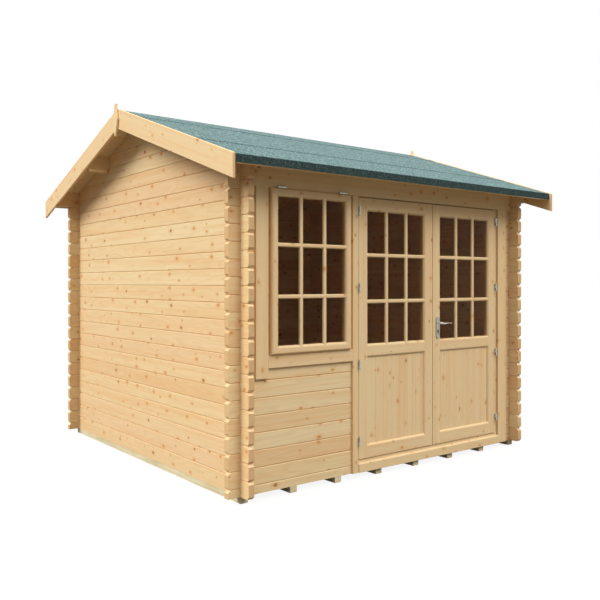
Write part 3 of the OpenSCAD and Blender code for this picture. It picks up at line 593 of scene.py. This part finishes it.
def board_row_tree():
    """Equal boards side by side along Y, their length along X and their thickness along Z."""
    tree, given = new_group("board_row", "GeometryNodeTree",
                            {"Count": "Int", "Pitch": "Float", "Gap": "Float", "Length": "Float",
                             "Thickness": "Float", "Chamfer": "Float", "Seed": "Int",
                             "Material": "Material"}, {"Geometry": "Geometry"})
    # A board is the hull of a wide, thin block and a narrow, thick one, so its edges are chamfered.
    width = add(tree, MATH, {0: given["Pitch"], 1: given["Gap"]}, operation="SUBTRACT")
    both = add(tree, MATH, {0: given["Chamfer"], 1: 2.0}, operation="MULTIPLY")
    narrow = add(tree, MATH, {0: width, 1: both}, operation="SUBTRACT")
    thin = add(tree, MATH, {0: given["Thickness"], 1: both}, operation="SUBTRACT")
    pair = add(tree, "GeometryNodeJoinGeometry")
    for across, through in ((width, thin), (narrow, given["Thickness"])):
        size = add(tree, "ShaderNodeCombineXYZ", {0: given["Length"], 1: across, 2: through})
        block = add(tree, "GeometryNodeMeshCube", {"Size": size})
        tree.links.new(block.outputs[0], pair.inputs[0])
    board = add(tree, "GeometryNodeConvexHull", {0: pair})
    board = add(tree, "GeometryNodeStoreNamedAttribute",
                {"Geometry": board, "Name": "grain", "Value": add(tree, "GeometryNodeInputPosition")},
                data_type="FLOAT_VECTOR", domain="POINT")
    normal = add(tree, "GeometryNodeInputNormal")
    facing = add(tree, "ShaderNodeSeparateXYZ", {0: normal}).outputs[X]
    facing = add(tree, MATH, {0: facing}, operation="ABSOLUTE")
    ends = add(tree, MATH, {0: facing, 1: 0.6}, operation="GREATER_THAN")
    board = add(tree, "GeometryNodeStoreNamedAttribute",
                {"Geometry": board, "Name": "end", "Value": ends}, data_type="FLOAT", domain="FACE")
    row = row_of(tree, given, board, Y)
    chance = add(tree, "FunctionNodeRandomValue", {"Seed": given["Seed"], 3: 1000.0},
                 data_type="FLOAT")
    row = add(tree, "GeometryNodeStoreNamedAttribute",
              {"Geometry": row, "Name": "seed", "Value": chance.outputs[1]},
              data_type="FLOAT", domain="INSTANCE")
    end_row(tree, given, row)
    return tree


def grown(tree, **sizes):
    """The plain mesh that a geometry tree makes with these inputs."""
    seedling = bpy.data.objects.new("seedling", bpy.data.meshes.new("seedling"))
    scene.collection.objects.link(seedling)
    modifier = seedling.modifiers.new("grow", "NODES")
    modifier.node_group = tree
    for item in tree.interface.items_tree:
        if item.in_out == "INPUT" and item.name in sizes:
            modifier[item.identifier] = sizes[item.name]
    seedling.update_tag()
    graph = bpy.context.evaluated_depsgraph_get()
    mesh = bpy.data.meshes.new_from_object(seedling.evaluated_get(graph), depsgraph=graph)
    bpy.data.objects.remove(seedling)
    return mesh


board_row = board_row_tree()


def placed(mesh, along, across, centre):
    """Turns and moves a mesh: its X goes along, its Y across, and its Z square to both."""
    along, across = Vector(along).normalized(), Vector(across).normalized()
    turn = Matrix((along, across, along.cross(across))).transposed().to_4x4()
    mesh.transform(Matrix.Translation(centre) @ turn)
    return mesh


def roof_boards(node, name, side):
    """Boards from ridge to eaves; side is -1 on the front slope and 1 on the back one."""
    low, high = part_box(node)
    up, square = up_slope(side)
    length = (high.y - low.y) / math.cos(PITCH) - DECK_T * math.tan(PITCH)
    ridge_low = Vector(((low.x + high.x) / 2, 0, high.z - DECK_T / math.cos(PITCH)))
    centre = ridge_low - up * (length / 2) + square * (DECK_T / 2)
    mesh = grown(board_row, Count=DECK_BOARDS, Pitch=(high.x - low.x) / DECK_BOARDS, Gap=0.4 * MM,
                 Length=length, Thickness=DECK_T, Chamfer=2.5 * MM, Seed=3 + side,
                 Material=board_wood)
    placed(mesh, up, (side, 0, 0), centre)
    make_piece(name, mesh, board_wood, "spruce_boards", "cabin", node)


roof_boards("front_roof_deck", "front_roof_boards", -1)
roof_boards("back_roof_deck", "back_roof_boards", 1)


def door_panel(side, seed):
    """Upright tongued and grooved boards that fill the foot of a door."""
    low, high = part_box(side + "_door_panel")
    mesh = grown(board_row, Count=PANEL_BOARDS, Pitch=(high.x - low.x) / PANEL_BOARDS,
                 Gap=0.15 * MM, Length=high.z - low.z, Thickness=high.y - low.y,
                 Chamfer=0.8 * MM, Seed=seed, Material=board_wood)
    placed(mesh, (0, 0, 1), (1, 0, 0), (low + high) / 2)
    make_piece(side + "_door_panel_boards", mesh, board_wood, "spruce_joinery", side + "_door",
               side + "_door_panel")


door_panel("left", 21)
door_panel("right", 34)


# ---- joinery ----

def upright_cuts(*places):
    """Planes square to X."""
    return [((x, 0, 0), (1, 0, 0)) for x in places]


for side in ("left", "right"):
    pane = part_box(side + "_door_glass")
    boards_from(side + "_door_frame", side + "_door_stiles", side + "_door",
                upright_cuts(pane[0].x, pane[1].x), edge=1.2 * MM, moulding=5 * MM)

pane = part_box("window_glass")
boards_from("window_sash", "window_sash_boards", "cabin", upright_cuts(pane[0].x, pane[1].x),
            moulding=5 * MM)
for node, name in (("window_sill_board", "window_sill"), ("head_board", "head_trim"),
                   ("left_trim_board", "left_trim"), ("right_trim_board", "right_trim")):
    boards_from(node, name, "cabin", edge=2 * MM)
# The door frame is cut at its posts' inner faces, 6 mm outside the leaves.
post_x = (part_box("left_door_frame")[0].x - 6 * MM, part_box("right_door_frame")[1].x + 6 * MM)
boards_from("door_frame", "door_posts", "cabin", upright_cuts(*post_x), edge=2 * MM)
boards_from("door_threshold", "door_sill", "cabin", edge=2 * MM)
boards_from("window_frame", "window_lining", "cabin")
for side in ("left", "right"):
    boards_from(side + "_bargeboards", side + "_bargeboards_planed", "cabin",
                [((0, 0, 0), (0, 1, 0))], edge=4 * MM,
                direction=lambda c: (0, math.cos(PITCH), -math.copysign(math.sin(PITCH), c.y)))
boards_from("finials", "finials_planed", "cabin", edge=3 * MM, depth=X)
boards_from("eaves_battens", "eaves_battens_planed", "cabin")


# ---- glazing bars ----

def bar_profile(width, front, back):
    """Half outline of a rounded glazing bar: flat back, rounded front."""
    half, flat, side = width / 2, 0.2 * width, 4 * MM
    points = [(half, back)]
    steps = 7
    for i in range(steps + 1):
        turn = math.pi / 2 * i / steps
        points.append((flat + (half - flat) * math.cos(turn),
                       back - side - (back - side - front) * math.sin(turn)))
    return points


def bar_solid(bm, axis, place, width, front, back, start, end):
    """One bar along X or Z, its outline swept from start to end."""
    half = bar_profile(width, front, back)
    outline = half + [(-u, y) for u, y in reversed(half)]
    wrap(bm, [[bm.verts.new((place + u, y, along) if axis == Z else (along, y, place + u))
               for u, y in outline] for along in (start, end)])


def joined(first, second, operation):
    """The union, the overlap or the difference of two closed meshes."""
    things = []
    for mesh in (first, second):
        thing = bpy.data.objects.new("cutter", mesh)
        scene.collection.objects.link(thing)
        things.append(thing)
    modifier = things[0].modifiers.new("join", "BOOLEAN")
    modifier.operation = operation
    modifier.solver = "EXACT"
    modifier.object = things[1]
    graph = bpy.context.evaluated_depsgraph_get()
    mesh = bpy.data.meshes.new_from_object(things[0].evaluated_get(graph), depsgraph=graph)
    for thing in things:
        bpy.data.objects.remove(thing)
    return mesh


def hull_of(points):
    """The mesh of the smallest convex solid round some points."""
    bm = bmesh.new()
    for point in points:
        bm.verts.new(point)
    bmesh.ops.convex_hull(bm, input=bm.verts)
    return to_mesh(bm)


def glazing_bars(node, name, glass_node, shares, body):
    """Rounded bars, three panes by three, whose ends run out over the frame's chamfer."""
    low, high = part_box(glass_node)
    front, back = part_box(node)[0].y, low.y
    reach = CHAMFER + 4 * MM
    pane = (high.x - low.x - 2 * BAR_W) / 3
    upright, cross = bmesh.new(), bmesh.new()
    columns = [low.x + i * pane + (i - 0.5) * BAR_W for i in (1, 2)]
    rows = [low.z + share * (high.z - low.z) for share in shares]
    for x in columns:
        bar_solid(upright, Z, x, BAR_W, front, back, low.z - reach, high.z + reach)
    for z in rows:
        bar_solid(cross, X, z, CROSS_BAR_W, front, back, low.x - reach, high.x + reach)
    mesh = joined(to_mesh(upright), to_mesh(cross), "UNION")
    # The bars stop at a hull that widens with the chamfer, from the pane to the frame's face.
    inner_y, grow = front - 2 * MM + CHAMFER, CHAMFER - MM
    corners = [(x, y, z) for y in (inner_y, back + MM) for x in (low.x, high.x)
               for z in (low.z, high.z)]
    corners += [(x, front - MM, z) for x in (low.x - grow, high.x + grow)
                for z in (low.z - grow, high.z + grow)]
    mesh = joined(mesh, hull_of(corners), "INTERSECT")
    bm = bmesh.new()
    bm.from_mesh(mesh)
    grain, seed, _ = grain_layers(bm)
    number = random.uniform(0, 1000)
    for face in bm.faces:
        spot = face.calc_center_median()
        row = min(range(2), key=lambda i: abs(spot.z - rows[i]))
        column = min(range(2), key=lambda i: abs(spot.x - columns[i]))
        is_cross = abs(spot.z - rows[row]) <= CROSS_BAR_W / 2 and (
            abs(face.normal.x) < 0.2 or abs(spot.x - columns[column]) > BAR_W / 2)
        for loop in face.loops:
            x, y, z = loop.vert.co - Vector((columns[0], back, rows[0]))
            loop[grain] = Vector((x, z, y)) if is_cross else Vector((z, x, y))
            loop[seed] = number + (row if is_cross else 2 + column)
    make_piece(name, to_mesh(bm), board_wood, "spruce_joinery", body, node)


glazing_bars("window_bars", "window_glazing_bars", "window_glass", BAR_SHARES["window"], "cabin")
for side in ("left", "right"):
    glazing_bars(side + "_door_bars", side + "_door_glazing_bars", side + "_door_glass",
                 BAR_SHARES["door"], side + "_door")


# ---- roofing felt ----

def spaced(start, end, gap):
    """Even steps between two places, without the ends."""
    count = max(1, round((end - start) / gap))
    return [start + (end - start) * i / count for i in range(1, count)]


def loft_edge(bm, node):
    """The lower edge of a sheet wanders by 3 mm, or lifts by 1 mm where it is bent down."""
    for side in (-1, 1):
        slope = up_slope(side)[0]
        mine = [v for v in bm.verts if v.co.y * side > 0]
        if "eaves" in node and mine:
            foot = min(v.co.z for v in mine)
            for vert in (v for v in mine if v.co.z < foot + 3 * MM):
                lift = noise.noise(Vector((vert.co.x * 9, 1, side)))
                vert.co.z += 1.0 * MM * (0.5 + 0.5 * lift)
        elif mine:
            foot = min(v.co.dot(slope) for v in mine)
            for vert in (v for v in mine if v.co.dot(slope) < foot + 6 * MM):
                sway = noise.noise(Vector((vert.co.x * 8, 5, side)))
                vert.co += slope * (3 * MM * sway)


def felt_sheet(node, name):
    """A sheet of felt that lies a little uneven, with its bend at the eaves or ridge rounded."""
    bm = solid_of(node)
    bends = [e for e in bm.edges if len(e.link_faces) == 2
             and abs((e.verts[0].co - e.verts[1].co).normalized().x) > 0.99
             and 0.5 < e.calc_face_angle_signed(0) < 1.4]
    bmesh.ops.bevel(bm, geom=bends, offset=5 * MM, segments=3, profile=0.5, affect="EDGES")
    low, high = extent(bm.faces)
    planes = [((x, 0, 0), (1, 0, 0)) for x in spaced(low.x, high.x, 56 * MM)]
    for side in (-1, 1):
        slope = up_slope(side)[0]
        reach = sorted(Vector((0, v.co.y, v.co.z)).dot(slope) for v in bm.verts
                       if v.co.y * side > 0)
        if reach:
            # The bend over the eaves or the ridge keeps its own edges.
            first = reach[0] if "middle" in node else reach[0] + 60 * MM
            planes += [(slope * s, slope) for s in spaced(reach[0], reach[-1], 60 * MM) if s > first]
    for point, normal in planes:
        whole = bm.verts[:] + bm.edges[:] + bm.faces[:]
        bmesh.ops.bisect_plane(bm, geom=whole, dist=0.01 * MM, plane_co=point, plane_no=normal)
    # Waves 180 mm long with smaller ones of 60 mm on them, up to 1.4 mm high and none at the ridge.
    for vert in bm.verts:
        x, y = vert.co.x, vert.co.y
        side = math.copysign(1, y)
        slope, square = up_slope(side)
        s = vert.co.dot(slope)
        ease = min(1, abs(y) / (80 * MM))
        rise = 0.5 + 0.5 * noise.noise(Vector((x * 5.5, s * 5.5, 3.0 * side)))
        rise += 0.3 * noise.noise(Vector((x * 17, s * 17, 8.0 * side)))
        vert.co += square * (ease * 1.1 * MM * max(0, rise))
    loft_edge(bm, node)
    bmesh.ops.recalc_face_normals(bm, faces=bm.faces)
    make_piece(name, to_mesh(bm), felt, "roofing_felt", "cabin", node)


for node in ("front_eaves_felt", "front_middle_felt", "ridge_felt", "back_middle_felt",
             "back_eaves_felt"):
    felt_sheet(node, node.replace("_felt", "_felt_sheet"))


# ---- floor ----

low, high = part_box("floor")
boards_from("floor", "floor_boards", "cabin",
            [((0, y, 0), (0, 1, 0)) for y in spaced(low.y, high.y, 112 * MM)], edge=1 * MM,
            slot="spruce_boards", depth=Z)


# ---- metal fittings ----

def turned(outline, centre, way):
    """A closed turned part: its outline in mm, turned about a Y axis and standing out from centre."""
    bm = bmesh.new()
    cx, cy, cz = centre
    rings = []
    steps = 28
    for radius, out in outline:
        angles = [math.tau * i / steps for i in range(steps if radius else 1)]
        rings.append([bm.verts.new((cx + radius * MM * math.cos(a), cy + way * out * MM,
                                    cz + radius * MM * math.sin(a))) for a in angles])
    wrap(bm, rings, looped=outline[0][0] > 0)
    return to_mesh(bm)


def merged(meshes):
    """Several meshes as one."""
    bm = bmesh.new()
    for mesh in meshes:
        bm.from_mesh(mesh)
        bpy.data.meshes.remove(mesh)
    return to_mesh(bm)


def plate_mesh(centre_x, low_z, high_z, half, y, way, thick):
    """A long plate with round ends and a rounded rim, standing out from y."""
    bm = bmesh.new()
    rim = 2.4 * MM
    rings = []
    for out, inset in ((0, 0), (thick - rim, 0), (thick - 0.3 * rim, 0.3 * rim), (thick, rim)):
        radius = half - inset
        ring = []
        for z, turn in ((high_z - half, 0.0), (low_z + half, math.pi)):
            for i in range(17):
                angle = turn + math.pi * i / 16
                ring.append(bm.verts.new((centre_x + radius * math.cos(angle), y + way * out,
                                          z + radius * math.sin(angle))))
        rings.append(ring)
    wrap(bm, rings)
    return to_mesh(bm)


def screw_tree():
    """Countersunk screws in a row along X: a domed head with a cross recess, its axis along Z."""
    tree, given = new_group("screw_row", "GeometryNodeTree",
                            {"Count": "Int", "Pitch": "Float", "Head": "Float",
                             "Material": "Material"}, {"Geometry": "Geometry"})
    # As shares of the head's width: its radius, and the recess's length, width, depth and lift.
    radius, long, wide, deep, lift = (
        add(tree, MATH, {0: given["Head"], 1: share}, operation="MULTIPLY")
        for share in (0.5, 0.6, 0.15, 0.3, 0.27))
    ball = add(tree, "GeometryNodeMeshUVSphere", {"Segments": 16, "Rings": 8, "Radius": radius})
    dome = add(tree, "GeometryNodeTransform", {"Geometry": ball, "Scale": (1.0, 1.0, 0.42)})
    screw = add(tree, "GeometryNodeMeshBoolean", {"Mesh 1": dome}, operation="DIFFERENCE")
    size = add(tree, "ShaderNodeCombineXYZ", {0: long, 1: wide, 2: deep})
    block = add(tree, "GeometryNodeMeshCube", {"Size": size})
    up = add(tree, "ShaderNodeCombineXYZ", {2: lift})
    for turn in (20, 110):
        recess = add(tree, "GeometryNodeTransform", {"Geometry": block, "Translation": up,
                                                     "Rotation": (0.0, 0.0, math.radians(turn))})
        tree.links.new(recess.outputs[0], screw.inputs["Mesh 2"])
    end_row(tree, given, row_of(tree, given, screw, X))
    return tree


screw_row = screw_tree()


def screws(count, pitch, head, centre, along, out):
    """Screws in a row along a direction, their heads facing out."""
    mesh = grown(screw_row, Count=count, Pitch=pitch, Head=head, Material=nickel)
    out = Vector(out)
    return placed(mesh, along, out.cross(Vector(along)), Vector(centre))


def wave(t, column):
    """A lever's middle (1) or half its height (2) at a share of its length, in smooth steps."""
    for before, after in zip(LEVER_WAVE, LEVER_WAVE[1:]):
        if t <= after[0]:
            share = (t - before[0]) / (after[0] - before[0])
            share = share * share * (3 - 2 * share)
            return (before[column] + (after[column] - before[column]) * share) * MM
    return LEVER_WAVE[-1][column] * MM


def lever_mesh(axis_x, face_y, axis_z, way):
    """A lever swept from its neck, round a bend and along, with two dips and an upturned tip."""
    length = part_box("door_lever")[1].x - axis_x
    reach = LEVER_OUT + LEVER_T / 2
    neck = 24 * MM
    # Along the path: run from the axis, distance out, rise, half height and half thickness.
    path = [(0.0, out, 0.0, 9 * MM, 8.2 * MM) for out in (0.6 * MM, 9 * MM, 18 * MM, neck)]
    bend = reach - neck
    for i in range(1, 7):
        turn = math.pi / 2 * i / 6
        path.append((bend * 0.9 * (1 - math.cos(turn)), neck + bend * math.sin(turn), 0.0,
                     9.2 * MM - 0.2 * MM * math.cos(turn), 6.5 * MM))
    first = path[-1][0] / length
    for i in range(1, 25):
        t = first + (0.975 - first) * i / 24
        path.append((t * length, reach, wave(t, 1), wave(t, 2), 6.4 * MM - 2.0 * MM * t))
    run, _, rise, tall, thick = path[-1]
    for i in range(1, 5):
        turn = math.pi / 2 * i / 4
        small = math.cos(turn)
        path.append((run + (length - run) * math.sin(turn), reach, rise + 1.2 * MM * math.sin(turn),
                     max(tall * small, 0.15 * MM), max(thick * small, 0.15 * MM)))
    bm = bmesh.new()
    rings = []
    steps = 20
    for k, (run, out, rise, tall, thick) in enumerate(path):
        before, after = path[max(0, k - 1)], path[min(len(path) - 1, k + 1)]
        ahead = Vector((after[0] - before[0], after[1] - before[1], 0)).normalized()
        ring = []
        for i in range(steps):
            angle = math.tau * i / steps
            aside = thick * math.cos(angle)
            ring.append(bm.verts.new((axis_x + run - ahead.y * aside,
                                      face_y + way * (out + ahead.x * aside),
                                      axis_z + rise + tall * math.sin(angle))))
        rings.append(ring)
    wrap(bm, rings)
    return to_mesh(bm)


def handle_set():
    """Both plates of the handle, with their collars, key cylinders and screws, and both levers."""
    low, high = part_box("handle_plates")
    axis_x = (low.x + high.x) / 2
    middle_z = (low.z + high.z) / 2
    axis_z = middle_z + AXIS_UP
    key_z = axis_z - KEY_DROP
    plates, collars, cylinders, levers = [], [], [], []
    # The same on the leaf's outer face, then on its inner face.
    for corner, way in zip(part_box("right_door_frame"), (-1, 1)):
        face = corner.y + way * PLATE_T
        plates.append(plate_mesh(axis_x, low.z, high.z, (high.x - low.x) / 2, corner.y, way, PLATE_T))
        plates.append(screws(2, high.z - low.z - 22 * MM, 7.5 * MM,
                             (axis_x, face - way * 0.3 * MM, middle_z), (0, 0, 1), (0, way, 0)))
        collars.append(turned(COLLAR, (axis_x, face, axis_z), way))
        levers.append(lever_mesh(axis_x, face, axis_z, way))
        # The lock: a barrel with a keyway cut in it, and the flat body that hangs below it.
        keyway = hull_of([(axis_x + x, face + way * out, key_z + z) for x in (-0.9 * MM, 0.9 * MM)
                          for out in (1 * MM, 4 * MM) for z in (-6 * MM, 3.5 * MM)])
        cylinders.append(joined(turned(BARREL, (axis_x, face, key_z), way), keyway, "DIFFERENCE"))
        cylinders.append(hull_of([(axis_x + 5 * MM * math.cos(a), face + way * out,
                                   key_z - 18 * MM + 5 * MM * math.sin(a) + up)
                                  for a in [math.tau * i / 16 for i in range(16)]
                                  for out in (-0.5 * MM, 2.4 * MM) for up in (0, 12 * MM)]))
    make_piece("handle_plates_turned", merged(plates), nickel, "steel", "right_door",
               "handle_plates")
    make_piece("lever_collars", merged(collars), polished, "steel", "right_door")
    make_piece("key_cylinders", merged(cylinders), dark_brass_painted_shade, "steel", "right_door")
    make_piece("lever_handles", merged(levers), polished, "steel", "lever", "door_lever")


handle_set()

# The hinges keep the shape of their nodes, with rounded edges.
for node, name, body in (("window_hinges", "window_butt_hinges", "cabin"),
                         ("door_hinge_pins", "door_hinge_posts", "cabin"),
                         ("left_door_hinges", "left_hinge_knuckles", "left_door"),
                         ("right_door_hinges", "right_hinge_knuckles", "right_door")):
    bm = solid_of(node)
    soften(bm, 0.7 * MM)
    make_piece(name, to_mesh(bm), zinc, "steel", body, node)


# ---- materials on the CAD nodes that keep their shape ----

for node, material in (("front_wall_left", front_logs), ("front_wall_right", front_logs),
                       ("back_wall", front_logs), ("left_gable_wall", gable_logs),
                       ("right_gable_wall", gable_logs), ("top_logs", beam_wood),
                       ("ridge_purlin", beam_wood), ("side_purlins", beam_wood),
                       ("bearers", bearer_wood), ("window_glass", glass),
                       ("left_door_glass", glass), ("right_door_glass", glass)):
    nodes[node].data.materials.clear()
    nodes[node].data.materials.append(material)


# ---- studio ----

def seen_directly(tree):
    """1 for the camera, and for mirrors and glass that it sees; 0 for light on its way to wood."""
    path = add(tree, "ShaderNodeLightPath").outputs
    seen = path["Is Camera Ray"]
    for ray in ("Is Glossy Ray", "Is Transmission Ray"):
        seen = add(tree, MATH, {0: seen, 1: path[ray]}, operation="MAXIMUM")
    straight = add(tree, MATH, {0: path["Diffuse Depth"], 1: 0.5}, operation="LESS_THAN")
    return add(tree, MATH, {0: seen, 1: straight}, operation="MULTIPLY")


def studio_floor():
    """Plain pale floor: white to the camera, mirrors and glass, with a faint shadow of the cabin."""
    material, tree = new_material("studio_floor_paper")
    white = add(tree, "ShaderNodeEmission", {"Color": srgb("#FFFFFF"), "Strength": 1.0})
    paper = add(tree, "ShaderNodeBsdfDiffuse", {"Color": srgb("#FFFFFF")})
    shown = add(tree, "ShaderNodeMixShader", {0: 0.90, 1: paper, 2: white})
    # To the wood it is dull ground, which throws only a little warm light up under the eaves.
    dull = add(tree, "ShaderNodeBsdfDiffuse", {"Color": srgb("#67635A")})
    both = add(tree, "ShaderNodeMixShader", {0: seen_directly(tree), 1: dull, 2: shown})
    add(tree, "ShaderNodeOutputMaterial", {0: both})
    mesh = bpy.data.meshes.new("studio_floor")
    half = 60.0
    mesh.from_pydata([(-half, -half, 0), (half, -half, 0), (half, half, 0), (-half, half, 0)], [],
                     [(0, 1, 2, 3)])
    floor = bpy.data.objects.new("studio_floor", mesh)
    scene.collection.objects.link(floor)
    mesh.materials.append(material)


def studio_light():
    """Big soft lamps, high on the left, the right front, the corner and the back, and a sky."""
    # Each lamp's strength, its width in degrees and the way to it.
    for name, strength, width, way in (("left_lamp", 2.78, 36, (-0.78, 0.17, 0.60)),
                                       ("front_lamp", 2.0, 36, (0.29, -0.65, 0.76)),
                                       ("corner_lamp", 0.36, 40, (-0.45, -0.45, 0.77)),
                                       ("back_lamp", 0.75, 50, (0.55, 0.55, 0.60))):
        lamp = bpy.data.lights.new(name, "SUN")
        lamp.energy = strength
        lamp.angle = math.radians(width)
        lamp.color = srgb("#FFFAF2")[:3]
        source = bpy.data.objects.new(name, lamp)
        source.rotation_euler = Vector(way).to_track_quat("Z", "Y").to_euler()
        scene.collection.objects.link(source)
    world = bpy.data.worlds.new("studio_sky")
    scene.world = world
    world.use_nodes = True
    tree = world.node_tree
    tree.nodes.clear()
    # The sky gives more light from overhead than from the horizon. Seen directly it is white.
    way = add(tree, "ShaderNodeTexCoord").outputs["Generated"]
    height = add(tree, "ShaderNodeSeparateXYZ", {0: way}).outputs[Z]
    light = add(tree, "ShaderNodeMapRange", {0: height, 1: 0.0, 2: 1.0, 3: 0.12, 4: 0.80},
                clamp=True)
    strength = add(tree, "ShaderNodeMix", {0: seen_directly(tree), 2: light, 3: 1.0})
    sky = add(tree, "ShaderNodeBackground", {"Color": srgb("#FFFFFF"), "Strength": strength})
    add(tree, "ShaderNodeOutputWorld", {0: sky})


def camera():
    """A level camera at eye height, off the front left corner, with a small drop of the lens."""
    lens = bpy.data.cameras.new("camera")
    lens.sensor_width = 36.0
    lens.lens = 43.40
    lens.shift_y = -0.0279
    lens.clip_end = 200.0
    eye = bpy.data.objects.new("camera", lens)
    eye.location = (-3.9831, -5.3698, 1.4285)
    eye.rotation_euler = (math.radians(90), 0, math.radians(-37.64))
    scene.collection.objects.link(eye)
    scene.camera = eye


studio_floor()
studio_light()
camera()
scene.view_settings.view_transform = "Standard"
